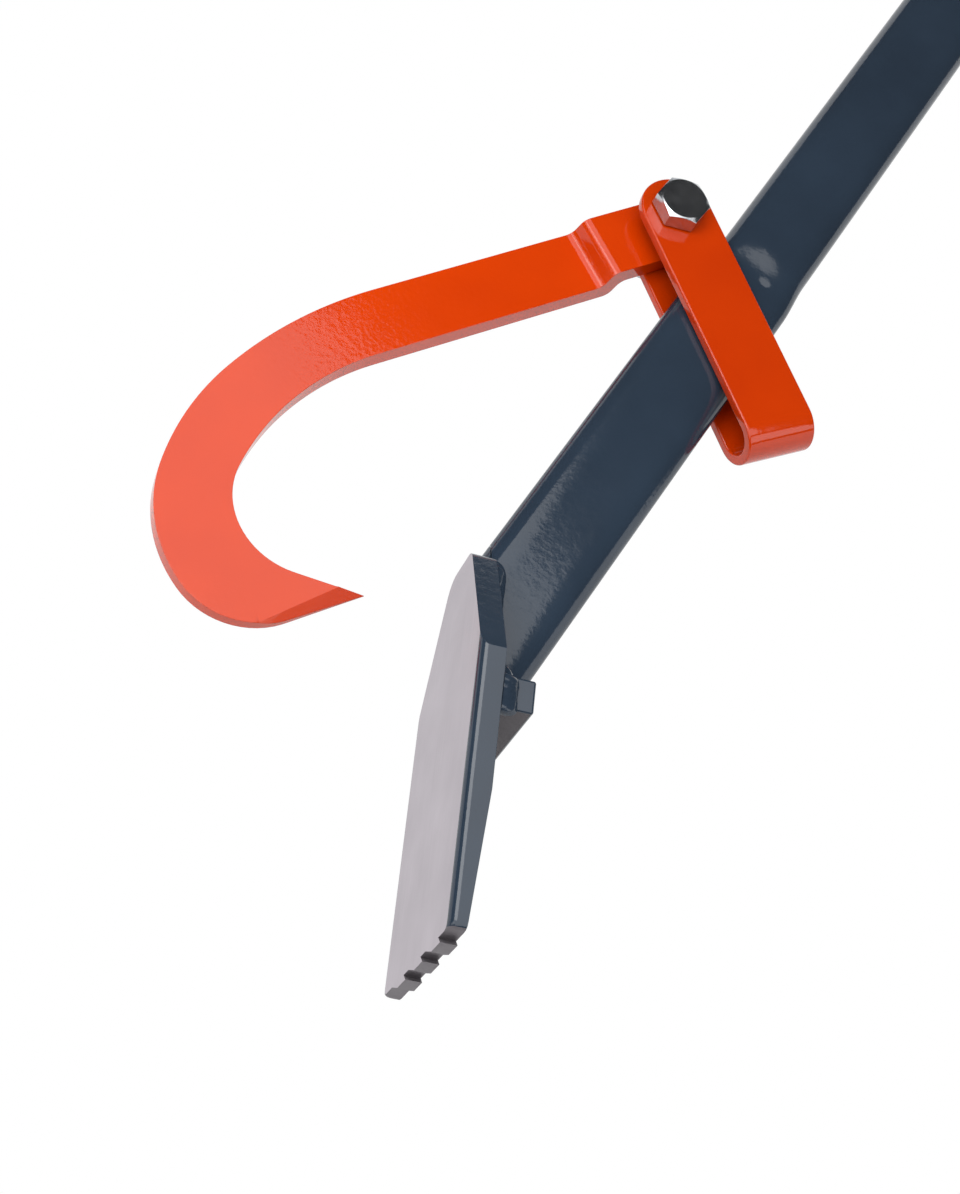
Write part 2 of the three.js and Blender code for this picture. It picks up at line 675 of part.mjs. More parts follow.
// Outer edge of the hook from the eye to past the point
function outerRun(endLength) {
  const start = new THREE.Vector2(OUTER_START, ARM_CENTRE_SHIFT - eyeRadius);
  const bends = [
    [OUTER_SWEEP_RADIUS, OUTER_SWEEP_DEG], [OUTER_BACK_RADIUS, OUTER_BACK_DEG],
    [OUTER_CLAW_RADIUS, OUTER_CLAW_DEG],
  ];
  return bendRun(start, bends, endLength);
}

function hookBlank() {
  const shape = new THREE.Shape();
  shape.absarc(0, ARM_CENTRE_SHIFT, eyeRadius, QUARTER_TURN, QUARTER_TURN + HALF_TURN);
  outerRun(POINT_LENGTH + POINT_LENGTH * HALF).forEach((point) => shape.lineTo(point.x, point.y));
  return hookPrism(shape);
}

// Everything on the log's side of the hook's inner edge
function hookThroat() {
  const innerEdge = ARM_CENTRE_SHIFT + eyeRadius;
  const start = new THREE.Vector2(INNER_START, innerEdge);
  const bends = [[INNER_SWEEP_RADIUS, INNER_SWEEP_DEG], [INNER_CLAW_RADIUS, INNER_CLAW_DEG]];
  const edge = bendRun(start, bends, INNER_SWEEP_RADIUS);
  const far = edge.at(-1);
  const behind = new THREE.Vector2(-INNER_START, innerEdge);
  return hookPrism(new THREE.Shape([behind, ...edge, new THREE.Vector2(-INNER_START, far.y)]));
}

function hookPrism(shape) {
  const placement = frameAt(pivotPoint(), hookDirection(), hookAcross());
  return prism(shape, bladeBack - CUT_MARGIN, eyeFront + CUT_MARGIN, placement);
}

// One face of the joggle: flat, convex bend, riser, hollow bend and flat again
function joggleFace(startX, topZ) {
  const angle = radians(JOGGLE_ANGLE_DEG);
  const radius = JOGGLE_DROP * JOGGLE_RADIUS_SHARE;
  const riser = (JOGGLE_DROP - (radius + radius) * (1 - Math.cos(angle))) / Math.sin(angle);
  const steps = Array.from({ length: ARC_STEPS + 1 }, (_, step) => angle * step / ARC_STEPS);
  const endX = startX + (radius + radius) * Math.sin(angle) + riser * Math.cos(angle);
  const convex = steps.map((turn) => [
    startX + radius * Math.sin(turn), topZ - radius * (1 - Math.cos(turn)),
  ]);
  const hollow = steps.map((turn) => [endX - radius * Math.sin(turn),
    topZ - JOGGLE_DROP + radius * (1 - Math.cos(turn))]);
  return corners([...convex, ...hollow.reverse()]);
}

// Side view of the hook bar: the eye's flat, the joggle and the blade
function hookSide() {
  const shift = HOOK_THICKNESS * Math.tan(radians(JOGGLE_ANGLE_DEG) * HALF);
  const reach = OUTER_START + OUTER_SWEEP_RADIUS + OUTER_BACK_RADIUS;
  const front = joggleFace(JOGGLE_START, eyeFront);
  const back = joggleFace(JOGGLE_START - shift, eyeBack).reverse();
  const tail = -ARM_WIDTH;
  const profile = [
    ...corners([[tail, eyeFront]]), ...front, ...corners([[reach, bladeFront], [reach, bladeBack]]),
    ...back, ...corners([[tail, eyeBack]]),
  ];
  return prism(new THREE.Shape(profile), -reach, reach, frameAt(pivotPoint(), hookDirection(), UP));
}

// Ground bevel along the outer edge of the point, sloping from the front face to a thin edge
function pointBevel() {
  const [before, tip] = outerRun(POINT_LENGTH).slice(-LINE_ENDS);
  const heading = Math.atan2(tip.y - before.y, tip.x - before.x) + radians(POINT_BEVEL_SKEW_DEG);
  const outward = heading - QUARTER_TURN;
  const across = hookDirection().multiplyScalar(Math.cos(outward))
    .add(hookAcross().multiplyScalar(Math.sin(outward)));
  const origin = pivotPoint().add(hookDirection().multiplyScalar(tip.x));
  origin.add(hookAcross().multiplyScalar(tip.y));
  const slope = (CLAW_THICKNESS - POINT_EDGE_THICKNESS) / POINT_BEVEL_WIDTH;
  const start = -POINT_BEVEL_WIDTH;
  const reach = slope * CUT_MARGIN;
  const profile = corners([
    [start - CUT_MARGIN, bladeFront + reach], [start + CUT_MARGIN, bladeFront - reach],
    [start + CUT_MARGIN, bladeFront + reach],
  ]);
  const length = OUTER_CLAW_RADIUS + POINT_LENGTH;
  return prism(profile, -length, length, frameAt(origin, across, UP));
}

// Wedge that thins the claw from behind towards its outer edge
function clawThinning() {
  const claw = outerRun(POINT_LENGTH).at(-1).y;
  const slope = (HOOK_THICKNESS - CLAW_THICKNESS) / (claw - THINNING_START);
  const start = THINNING_START - CUT_MARGIN;
  const end = claw + CUT_MARGIN;
  const profile = corners([
    [start, bladeBack - slope * CUT_MARGIN], [start, bladeBack - HOOK_THICKNESS],
    [end, bladeBack - HOOK_THICKNESS], [end, bladeBack + slope * (end - THINNING_START)],
  ]);
  const length = OUTER_START + OUTER_SWEEP_RADIUS;
  return prism(profile, -length, length, frameAt(pivotPoint(), hookAcross(), UP));
}

function hook() {
  const eyeHole = cylinder(boltRadius + SEAT_GAP, bladeBack, eyeFront + CUT_MARGIN);
  const blade = hookSide().intersect(hookBlank()).subtract(hookThroat());
  const ground = blade.subtract(pointBevel()).subtract(clawThinning());
  return meshOf('hook', ground.subtract(eyeHole), ORANGE);
}

const part = new THREE.Group();
part.name = 'felling_lever';
part.add(leverTube(), footPlate(), heelBar(), ...tubeWelds(), ...heelWelds(), topWeld());
part.add(gripSleeve(), endPlug(), bracketStrap(), hook());
part.add(pivotBolt(), nutWasher(), lockNut(), nylonRing(), spacerSleeve());

export default part;
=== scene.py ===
"""Dressed scene of a felling lever: painted tube, toothed foot, sliding bracket and turning hook.

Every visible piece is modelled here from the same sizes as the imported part, in metres and in
its frame: +X up the lever, +Y towards the hook, +Z along the pivot bolt towards its head.
"""

import logging
import math
from abc import ABC, abstractmethod
from dataclasses import dataclass, field
from enum import Enum, auto
from functools import cache
from itertools import pairwise
from typing import ClassVar, Sequence

import bmesh
import bpy
from bmesh.types import BMEdge, BMesh, BMFace, BMVert
from bpy.types import Material, Node, NodeSocket, Object
from mathutils import Matrix, Vector, noise


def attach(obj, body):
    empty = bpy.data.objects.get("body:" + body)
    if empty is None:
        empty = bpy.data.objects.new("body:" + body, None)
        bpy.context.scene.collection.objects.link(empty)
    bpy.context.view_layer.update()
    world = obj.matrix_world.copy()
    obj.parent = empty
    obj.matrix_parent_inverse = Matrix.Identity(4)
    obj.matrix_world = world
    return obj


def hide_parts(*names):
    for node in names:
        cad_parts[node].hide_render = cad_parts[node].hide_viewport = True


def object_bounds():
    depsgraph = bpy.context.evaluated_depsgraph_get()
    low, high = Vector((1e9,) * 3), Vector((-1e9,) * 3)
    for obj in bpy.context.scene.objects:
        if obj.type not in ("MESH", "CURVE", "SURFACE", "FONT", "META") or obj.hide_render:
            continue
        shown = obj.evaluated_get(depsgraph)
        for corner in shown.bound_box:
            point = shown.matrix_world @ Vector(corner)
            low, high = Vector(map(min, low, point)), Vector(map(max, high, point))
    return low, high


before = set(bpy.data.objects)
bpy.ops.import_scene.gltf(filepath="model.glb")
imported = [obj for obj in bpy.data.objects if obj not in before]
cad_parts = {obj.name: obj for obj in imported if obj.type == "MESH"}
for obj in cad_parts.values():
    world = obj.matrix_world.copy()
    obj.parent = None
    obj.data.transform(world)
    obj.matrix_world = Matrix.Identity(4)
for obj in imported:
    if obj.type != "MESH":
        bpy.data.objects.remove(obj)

START_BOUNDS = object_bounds()
LOG = logging.getLogger("felling_lever")

MM = 0.001
SEAT_GAP = 0.3 * MM
MERGE_DISTANCE = 1e-7
UP = Vector((0.0, 0.0, 1.0))
FULL_TURN = 2.0 * math.pi
QUARTER_TURN = math.pi / 2.0

Point = tuple[float, float]
Ring = list[Vector]


class Body(Enum):
    """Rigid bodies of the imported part."""

    LEVER = "lever"
    PIVOT = "pivot"
    BRACKET = "bracket"
    HOOK = "hook"


class Slot(Enum):
    """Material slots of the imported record."""

    LEVER_PAINT = "lever_paint"
    FOOT_STEEL = "foot_steel"
    BRACKET_PAINT = "bracket_paint"
    HOOK_PAINT = "hook_paint"
    ZINC = "zinc"
    NYLON = "nylon"
    GRIP_RUBBER = "grip_rubber"
    PLUG_PLASTIC = "plug_plastic"


class Ends(Enum):
    """What closes a skin of rings: a face at each end, the first ring again, or nothing."""

    CAPS = auto()
    LOOP = auto()
    OPEN = auto()


# Sizes


@dataclass(frozen=True)
class TubeSizes:
    """Flat-oval lever tube, low section below the pressed shoulder and high section above."""

    low_width: float = 39.5 * MM
    low_depth: float = 13.2 * MM
    high_width: float = 37.0 * MM
    high_depth: float = 17.6 * MM
    wall: float = 2.5 * MM
    uncut_start: float = -40.0 * MM
    shoulder_start: float = 226.0 * MM
    shoulder_length: float = 20.5 * MM
    shoulder_bow: float = 3.0 * MM
    high_crown: float = 0.3
    low_crown: float = 0.4
    crown_start: float = 0.4
    # place along the tube and across it, radius and depth
    dimple: tuple[float, float, float, float] = (228.4 * MM, -4.3 * MM, 5.0 * MM, 0.5 * MM)
    end_x: float = 716.0 * MM


@dataclass(frozen=True)
class FootSizes:
    """Foot plate, heel bar and the weld over the plate's top, in the plate's own frame."""

    angle: float = math.radians(26.1)
    thickness: float = 9.0 * MM
    half_width: float = 40.0 * MM
    top_half_width: float = 12.5 * MM
    near_rounding: float = 3.5 * MM
    far_rounding: float = 7.0 * MM
    edge_radius: float = 3.2 * MM
    corner_rounding: float = 2.6 * MM
    blunt_edge: float = 0.8 * MM
    crisp_edge: float = 0.3 * MM
    taper_start: float = -4.0 * MM
    top: float = -52.6 * MM
    tip: float = 96.2 * MM
    tip_thickness: float = 5.7 * MM
    tip_bevel_length: float = 50.0 * MM
    tooth_count: int = 3
    tooth_first: float = 31.0 * MM
    tooth_pitch: float = 20.2 * MM
    tooth_depth: float = 2.4 * MM
    tooth_land: float = 9.8 * MM
    tooth_slope: float = 7.7 * MM
    tooth_undercut: float = 3.0 * MM
    heel_size: float = 12.0 * MM
    heel_length: float = 72.0 * MM
    heel_start: float = 3.5 * MM
    heel_edge: float = 0.9 * MM
    top_weld_run: Point = (-20.0 * MM, 80.0 * MM)
    top_weld_rise: float = 3.2 * MM
    top_weld_edge: float = 0.9 * MM


@dataclass(frozen=True)
class StrapSizes:
    """Flat bar bent into a U about the tube."""

    tilt: float = math.radians(35.1)
    width: float = 30.0 * MM
    thickness: float = 4.0 * MM
    reach: float = 94.5 * MM
    gap_half: float = 7.05 * MM
    hole_radius: float = 6.5 * MM
    eye_length: float = 16.0 * MM
    edge: float = 0.8 * MM

    @property
    def outer_half(self) -> float:
        """Half the bracket's outer thickness over both legs."""
        return self.gap_half + self.thickness


@dataclass(frozen=True)
class HookSizes:
    """Joggled hook: straight arm, four outer bends, two inner bends and the ground point."""

    turn: float = math.radians(150.34)
    thickness: float = 8.0 * MM
    width: float = 26.0 * MM
    shift: float = 1.0 * MM
    hole_radius: float = 6.3 * MM
    eye_back: float = -6.75 * MM
    eye_length: float = 15.0 * MM
    joggle_start: float = 30.6 * MM
    joggle_drop: float = 8.2 * MM
    joggle_radius: float = 4.018 * MM
    joggle_angle: float = math.radians(70.0)
    blade_lead: float = 14.0 * MM
    outer_start: float = 126.2 * MM
    outer_bends: tuple[Point, ...] = (
        (175.3 * MM, math.radians(22.6)),
        (108.4 * MM, math.radians(25.8)),
        (54.5 * MM, math.radians(50.5)),
        (29.9 * MM, math.radians(80.7)),
    )
    inner_start: float = 137.6 * MM
    inner_bends: tuple[Point, ...] = (
        (106.0 * MM, math.radians(40.9)),
        (29.3 * MM, math.radians(98.8)),
    )
    claw_thickness: float = 4.6 * MM
    thinning_start: float = 20.0 * MM
    claw_start: float = 55.0 * MM
    point_length: float = 26.0 * MM
    bevel_width: float = 5.1 * MM
    bevel_skew: float = math.radians(4.9)
    edge_thickness: float = 1.0 * MM
    nose_turn: float = math.radians(11.0)
    nose_start: float = 15.5 * MM
    edge: float = 0.9 * MM


@dataclass(frozen=True)
class PivotSizes:
    """Pivot bolt, washer, lock nut and spacer sleeve on one axis."""

    x: float = 231.4 * MM
    y: float = 39.35 * MM
    bolt_radius: float = 6.0 * MM
    flat: float = 9.5 * MM
    chamfer: float = math.tan(math.radians(30.0))
    head_height: float = 7.5 * MM
    turn: float = math.radians(2.0)
    washer_radius: float = 12.0 * MM
    washer_thickness: float = 2.5 * MM
    washer_edge: float = 0.45 * MM
    nut_height: float = 8.2 * MM
    crown_height: float = 3.8 * MM
    crown_radius: float = 8.6 * MM
    crown_wall: float = 0.9 * MM
    nylon_height: float = 2.6 * MM
    past_nut: float = 1.8 * MM
    spacer_radius: float = 9.5 * MM
    thread_pitch: float = 1.75 * MM
    thread_depth: float = 0.85 * MM
    thread_start: float = 2.0 * MM
    end_chamfer: float = 1.2 * MM
    ring_edge: float = 0.35 * MM


@dataclass(frozen=True)
class GripSizes:
    """Ribbed grip sleeve and end plug."""

    length: float = 126.0 * MM
    thickness: float = 2.6 * MM
    rib_height: float = 1.2 * MM
    rib_pitch: float = 9.0 * MM
    lip: float = 6.0 * MM
    lip_edge: float = 0.8 * MM
    plug_flange: float = 4.0 * MM
    plug_skirt: float = 24.0 * MM
    plug_edge: float = 0.5 * MM


TUBE = TubeSizes()
FOOT = FootSizes()
STRAP = StrapSizes()
HOOK = HookSizes()
PIVOT = PivotSizes()
GRIP = GripSizes()

# heights of the bolt head's seat, the nut's bearing face and the nut crown's free end
HEAD_SEAT = STRAP.outer_half + SEAT_GAP
NUT_TOP = -STRAP.outer_half - PIVOT.washer_thickness - 2.0 * SEAT_GAP
NUT_END = NUT_TOP - PIVOT.nut_height - PIVOT.crown_height
BORE = PIVOT.bolt_radius + SEAT_GAP


# Places


def flat_direction(angle: float) -> Vector:
    """Unit direction in the X-Y plane at an angle from +X."""
    return Vector((math.cos(angle), math.sin(angle), 0.0))


def placement(origin: Vector, x_axis: Vector, y_axis: Vector) -> Matrix:
    """Matrix of a right-handed frame.

    Args:
        origin: the frame's origin.
        x_axis: its X direction.
        y_axis: its Y direction, square to the first.

    Returns:
        The 4 by 4 matrix from the frame to the part.
    """
    matrix = Matrix((x_axis, y_axis, x_axis.cross(y_axis))).transposed().to_4x4()
    matrix.translation = origin
    return matrix


def pivot_frame(angle: float) -> Matrix:
    """Frame on the pivot's axis with its X direction at an angle from +X."""
    return placement(Vector((PIVOT.x, PIVOT.y, 0.0)), flat_direction(angle), UP.cross(flat_direction(angle)))


FOOT_HEADING = math.pi + FOOT.angle
FOOT_DOWN = flat_direction(FOOT_HEADING)
FOOT_OUT = FOOT_DOWN.cross(UP)
FOOT_FRAME = placement(Vector(), FOOT_DOWN, UP)
STRAP_FRAME = pivot_frame(-QUARTER_TURN - STRAP.tilt)
HOOK_FRAME = pivot_frame(HOOK.turn)
BOLT_FRAME = pivot_frame(-QUARTER_TURN - STRAP.tilt + PIVOT.turn)


# Colours and finishes


def linear_colour(hex_code: str) -> tuple[float, float, float, float]:
    """Scene-linear colour of an sRGB hex code.

    Args:
        hex_code: six hex digits.

    Returns:
        Red, green, blue and alpha in linear light.
    """
    channels = [int(hex_code[i : i + 2], 16) / 255.0 for i in (0, 2, 4)]
    linear = [c / 12.92 if c <= 0.04045 else ((c + 0.055) / 1.055) ** 2.4 for c in channels]
    return (*linear, 1.0)


class ShaderGraph:
    """One material's node tree while it is built."""

    def __init__(self, name: str) -> None:
        """Starts an empty material of a name."""
        self.material = bpy.data.materials.new(name)
        self.material.use_nodes = True
        self.material.node_tree.nodes.clear()

    def add(self, kind: str, settings: dict[str, object] | None = None, **inputs: object) -> Node:
        """Adds a node with its settings and links.

        Args:
            kind: the node's type name.
            settings: attributes of the node, or a colour ramp's pairs of place and colour as 'stops'.
            **inputs: a value, socket or node for each input, named with underscores for spaces
                or, as in 'in0', by its place.

        Returns:
            The new node.
        """
        tree = self.material.node_tree
        node = tree.nodes.new(kind)
        node.location = (220.0 * len(tree.nodes), 0.0)
        for key, value in (settings or {}).items():
            if key == "stops":
                for element, stop in zip(node.color_ramp.elements, value):
                    element.position, element.color = stop
            else:
                setattr(node, key, value)
        for key, value in inputs.items():
            by_place = key.startswith("in") and key[2:].isdigit()
            socket = node.inputs[int(key[2:]) if by_place else key.replace("_", " ")]
            if isinstance(value, Node):
                value = value.outputs[0]
            if isinstance(value, NodeSocket):
                tree.links.new(value, socket)
            else:
                socket.default_value = value
        return node


@dataclass(frozen=True)
class Finish(ABC):
    """A real surface finish that can build its material."""

    name: str
    colour: str
    shade: str
    roughness: float

    # where the pattern turns from the shade to the colour, and the spread of the roughness
    clouding: ClassVar[Point] = (0.3, 0.7)
    dulling: ClassVar[Point] = (0.75, 1.3)

    @abstractmethod
    def build(self) -> Material:
        """Builds the finish's material."""

    def close(self, graph: ShaderGraph, cloud: Node, dust: Node, bump: Node, **inputs: float) -> Material:
        """Clouds the colour, dulls the gloss in patches and closes the material.

        Args:
            graph: the material's graph.
            cloud: the pattern of the colour.
            dust: the pattern of the roughness.
            bump: the relief.
            **inputs: other inputs of the shader.

        Returns:
            The finished material.
        """
        colours = (linear_colour(self.shade), linear_colour(self.colour))
        base = graph.add("ShaderNodeValToRGB", {"stops": tuple(zip(self.clouding, colours))}, Fac=cloud)
        low, high = (self.roughness * share for share in self.dulling)
        rough = graph.add("ShaderNodeMapRange", Value=dust, To_Min=low, To_Max=high)
        shader = graph.add(
            "ShaderNodeBsdfPrincipled", Base_Color=base, Roughness=rough, Normal=bump, **inputs
        )
        graph.add("ShaderNodeOutputMaterial", Surface=shader)
        return graph.material


@dataclass(frozen=True)
class PowderCoat(Finish):
    """Glossy powder coat sprayed on steel and baked: slight orange peel and dulled patches."""

    peel_size: float
    peel_depth: float
    flow_size: float = 35 * MM
    dust_size: float = 9 * MM

    def build(self) -> Material:
        """Builds the paint with flow unevenness, orange peel and fine scuffs.

        Returns:
            The finished material.
        """
        graph = ShaderGraph(self.name)
        place = graph.add("ShaderNodeTexCoord").outputs["Object"]
        # the coat pools and thins over some centimetres, which shifts its depth of colour
        flow = graph.add("ShaderNodeTexNoise", Vector=place, Scale=1.0 / self.flow_size, Detail=2.0)
        # orange peel of the baked powder, a long wave and a short one
        peel = graph.add("ShaderNodeTexNoise", Vector=place, Scale=1.0 / self.peel_size, Detail=1.5)
        fine = graph.add("ShaderNodeTexNoise", Vector=place, Scale=1.0 / (self.peel_size * 0.3), Detail=1.0)
        relief = graph.add("ShaderNodeMix", {"data_type": "FLOAT"}, Factor=0.25, in2=peel, in3=fine)
        bump = graph.add("ShaderNodeBump", Strength=1.0, Distance=self.peel_depth, Height=relief)
        # dust and handling dull the gloss in patches
        dust = graph.add("ShaderNodeTexNoise", Vector=place, Scale=1.0 / self.dust_size, Detail=5.0)
        return self.close(graph, flow, dust, bump)


@dataclass(frozen=True)
class GroundSteel(Finish):
    """Mild steel ground on a belt: fine lines along the grinding, uneven sheen."""

    direction: float
    line_width: float
    line_length: float
    metallic: float = 1.0
    cloud_size: float = 28 * MM
    line_depth: float = 0.02 * MM
    dulling: ClassVar[Point] = (0.8, 1.25)

    def build(self) -> Material:
        """Builds the ground face with grinding lines along its direction.

        Returns:
            The finished material.
        """
        graph = ShaderGraph(self.name)
        place = graph.add("ShaderNodeTexCoord").outputs["Object"]
        turned = graph.add("ShaderNodeMapping", Vector=place, Rotation=(0.0, 0.0, -self.direction))
        # the belt's grit leaves lines far longer than they are wide
        squeeze = (self.line_width / self.line_length, 1.0, 1.0)
        stretched = graph.add("ShaderNodeMapping", Vector=turned, Scale=squeeze)
        lines = graph.add("ShaderNodeTexNoise", Vector=stretched, Scale=1.0 / self.line_width, Detail=3.0)
        cloud = graph.add("ShaderNodeTexNoise", Vector=turned, Scale=1.0 / self.cloud_size, Detail=3.0)
        mixed = graph.add("ShaderNodeMix", {"data_type": "FLOAT"}, Factor=0.45, in2=lines, in3=cloud)
        bump = graph.add("ShaderNodeBump", Strength=0.5, Distance=self.line_depth, Height=lines)
        return self.close(graph, mixed, lines, bump, Metallic=self.metallic)


@dataclass(frozen=True)
class ZincPlate(Finish):
    """Bright zinc plated on a turned or pressed steel part: faint clouding and fine pits."""

    cloud_size: float = 4 * MM
    pit_size: float = 0.8 * MM
    pit_depth: float = 0.03 * MM
    clouding: ClassVar[Point] = (0.3, 0.65)
    dulling: ClassVar[Point] = (0.85, 1.2)

    def build(self) -> Material:
        """Builds the plated metal.

        Returns:
            The finished material.
        """
        graph = ShaderGraph(self.name)
        place = graph.add("ShaderNodeTexCoord").outputs["Object"]
        cloud = graph.add("ShaderNodeTexNoise", Vector=place, Scale=1.0 / self.cloud_size, Detail=4.0)
        pits = graph.add("ShaderNodeTexVoronoi", Vector=place, Scale=1.0 / self.pit_size)
        bump = graph.add("ShaderNodeBump", Strength=0.35, Distance=self.pit_depth, Height=pits)
        return self.close(graph, cloud, cloud, bump, Metallic=1.0)


@dataclass(frozen=True)
class Moulded(Finish):
    """Moulded rubber or plastic with a fine grain from the mould."""

    grain_size: float
    grain_depth: float
    wear_size: float = 18 * MM
    clouding: ClassVar[Point] = (0.35, 0.7)
    dulling: ClassVar[Point] = (0.85, 1.1)

    def build(self) -> Material:
        """Builds the moulded surface.

        Returns:
            The finished material.
        """
        graph = ShaderGraph(self.name)
        place = graph.add("ShaderNodeTexCoord").outputs["Object"]
        grain = graph.add("ShaderNodeTexNoise", Vector=place, Scale=1.0 / self.grain_size, Detail=3.0)
        wear = graph.add("ShaderNodeTexNoise", Vector=place, Scale=1.0 / self.wear_size, Detail=4.0)
        bump = graph.add("ShaderNodeBump", Strength=0.6, Distance=self.grain_depth, Height=grain)
        return self.close(graph, wear, wear, bump)


# polyester powder, sprayed and baked: a glossy skin, softer and lumpier where it covers a weld
BLUE_PAINT = PowderCoat("blue_grey_paint", "2A3644", "26313E", 0.1, 3.2 * MM, 0.05 * MM)
BLUE_WELD = PowderCoat("blue_grey_over_weld", "2D3947", "26313E", 0.16, 2.4 * MM, 0.12 * MM)
BRACKET_ORANGE = PowderCoat("bracket_orange", "C03601", "B93201", 0.07, 2.6 * MM, 0.035 * MM)
HOOK_ORANGE = PowderCoat("hook_orange", "C83901", "C13501", 0.08, 2.2 * MM, 0.05 * MM)
# mild steel, belt ground on the face, duller where it is cut at the teeth, and at the heel a lighter grey
# that is partly wear and partly a painted reflection of the white floor
FACE_STEEL = GroundSteel("ground_face", "C0B8C0", "A49CA4", 0.34, FOOT_HEADING, 0.4 * MM, 40 * MM)
TIP_STEEL = GroundSteel("ground_tip", "757075", "676367", 0.55, QUARTER_TURN, 0.5 * MM, 12 * MM, 0.35)
HEEL_WEAR_AND_PAINTED_REFLECTION = GroundSteel("worn_heel", "605B5F", "504C50", 0.6, QUARTER_TURN, 0.6 * MM, 8 * MM, 0.2)
# zinc plate, bright on the machined bolt and duller on the stamped and turned parts
BOLT_ZINC = ZincPlate("bright_zinc", "C9CCD0", "B4B8BD", 0.16)
NUT_ZINC = ZincPlate("nut_zinc", "C2C5C8", "A0A4A8", 0.26)
# moulded rubber, polyethylene and nylon: dull skins with the mould's grain
GRIP_RUBBER = Moulded("grip_rubber", "26282A", "1A1C1D", 0.72, 0.6 * MM, 0.06 * MM)
PLUG_PLASTIC = Moulded("plug_plastic", "2A2D30", "202326", 0.45, 0.4 * MM, 0.03 * MM)
RING_NYLON = Moulded("ring_nylon", "DCDFE3", "C9CDD2", 0.5, 0.5 * MM, 0.02 * MM)


@cache
def material_of(finish: Finish) -> Material:
    """Material of a finish, built on first use."""
    return finish.build()


# Mesh building

SHARP_TURN = math.radians(28.0)
BLUNT_TURN = math.radians(40.0)
CUT_TURN = math.radians(50.0)
CREASE_TURN = math.radians(34.0)


def spread(start: float, end: float, count: int) -> list[float]:
    """Evenly spaced values over a number of steps, with both ends."""
    return [start + (end - start) * step / count for step in range(count + 1)]


def smooth_share(share: float) -> float:
    """Smooth step from 0 to 1 for a share that is held to them."""
    held = min(1.0, max(0.0, share))
    return held * held * (3.0 - 2.0 * held)


def curve(start: Vector, corner: Vector, end: Vector, count: int) -> list[Point]:
    """Points of the curve that rounds a corner.

    Args:
        start: the curve's first point.
        corner: the corner.
        end: the curve's last point.
        count: steps of the curve.

    Returns:
        The points, with both ends.
    """
    points = [start * (1 - t) ** 2 + corner * 2 * t * (1 - t) + end * t**2 for t in spread(0.0, 1.0, count)]
    return [(point.x, point.y) for point in points]


def sharp_edges(bm: BMesh, limit: float) -> list[BMEdge]:
    """Edges where the surface turns by more than a limit.

    Args:
        bm: the mesh.
        limit: the smallest turn that counts, in radians.

    Returns:
        The edges.
    """
    bm.normal_update()
    return [edge for edge in bm.edges if len(edge.link_faces) == 2 and edge.calc_face_angle(0.0) > limit]


def round_edges(bm: BMesh, edges: list[BMEdge], width: float, segments: int = 3) -> None:
    """Rounds edges.

    Args:
        bm: the mesh to change.
        edges: the edges.
        width: the rounding's width in metres.
        segments: steps across the rounding.
    """
    bmesh.ops.bevel(
        bm, geom=edges, offset=width, offset_type="OFFSET", segments=segments, profile=0.5,
        affect="EDGES", clamp_overlap=True, material=-1,
    )


def band(bm: BMesh, low: list[BMVert], high: list[BMVert], first: int = 0) -> None:
    """Quads between two closed rings of vertices.

    Args:
        bm: the mesh to add to.
        low: one ring.
        high: the other ring.
        first: how many quads are left out at the start.
    """
    for i in range(first, len(low)):
        j = (i + 1) % len(low)
        bm.faces.new((low[i], low[j], high[j], high[i]))


def skin(bm: BMesh, rings: Sequence[Ring], ends: Ends = Ends.CAPS) -> list[list[BMVert]]:
    """Skins closed rings of points into quads.

    Args:
        bm: the mesh to add to.
        rings: closed rings with one point count.
        ends: what closes the skin.

    Returns:
        The vertices of each ring.
    """
    rows = [[bm.verts.new(point) for point in ring] for ring in rings]
    for low, high in pairwise(rows):
        band(bm, low, high)
    if ends is Ends.CAPS:
        bm.faces.new(rows[0][::-1])
        bm.faces.new(rows[-1])
    elif ends is Ends.LOOP:
        band(bm, rows[-1], rows[0])
    return rows


def merge(bm: BMesh) -> None:
    """Merges points that meet and turns every face outwards."""
    bmesh.ops.remove_doubles(bm, verts=bm.verts[:], dist=MERGE_DISTANCE)
    bmesh.ops.recalc_face_normals(bm, faces=bm.faces[:])


def revolve(bm: BMesh, profile: Sequence[Point], steps: int = 64) -> None:
    """Spins a closed profile of radius and height about Z.

    Args:
        bm: the mesh to add to.
        profile: pairs of radius and height, in metres.
        steps: steps of the full turn.
    """
    verts = [bm.verts.new((radius, 0.0, height)) for radius, height in profile]
    edges = [bm.edges.new(pair) for pair in pairwise([*verts, verts[0]])]
    bmesh.ops.spin(
        bm, geom=verts + edges, cent=(0.0, 0.0, 0.0), axis=UP, dvec=(0.0, 0.0, 0.0), angle=FULL_TURN,
        steps=steps, use_merge=True, use_normal_flip=False, use_duplicate=False,
    )
    merge(bm)


def cut_away(bm: BMesh, point: Vector, outward: Vector, faces: list[BMFace] | None = None) -> None:
    """Cuts off everything outside a plane and closes the cut.

    Args:
        bm: the mesh to cut.
        point: a point on the plane.
        outward: the direction that is cut off.
        faces: the faces that are cut, or None for all.
    """
    geom = bm.verts[:] + bm.edges[:] + bm.faces[:]
    if faces is not None:
        geom = list({v for f in faces for v in f.verts}) + list({e for f in faces for e in f.edges}) + faces
    cut = bmesh.ops.bisect_plane(
        bm, geom=geom, dist=MERGE_DISTANCE, plane_co=point, plane_no=outward, clear_outer=True
    )
    edges = [item for item in cut["geom_cut"] if isinstance(item, BMEdge)]
    bmesh.ops.edgenet_fill(bm, edges=[edge for edge in edges if len(edge.link_faces) == 1])


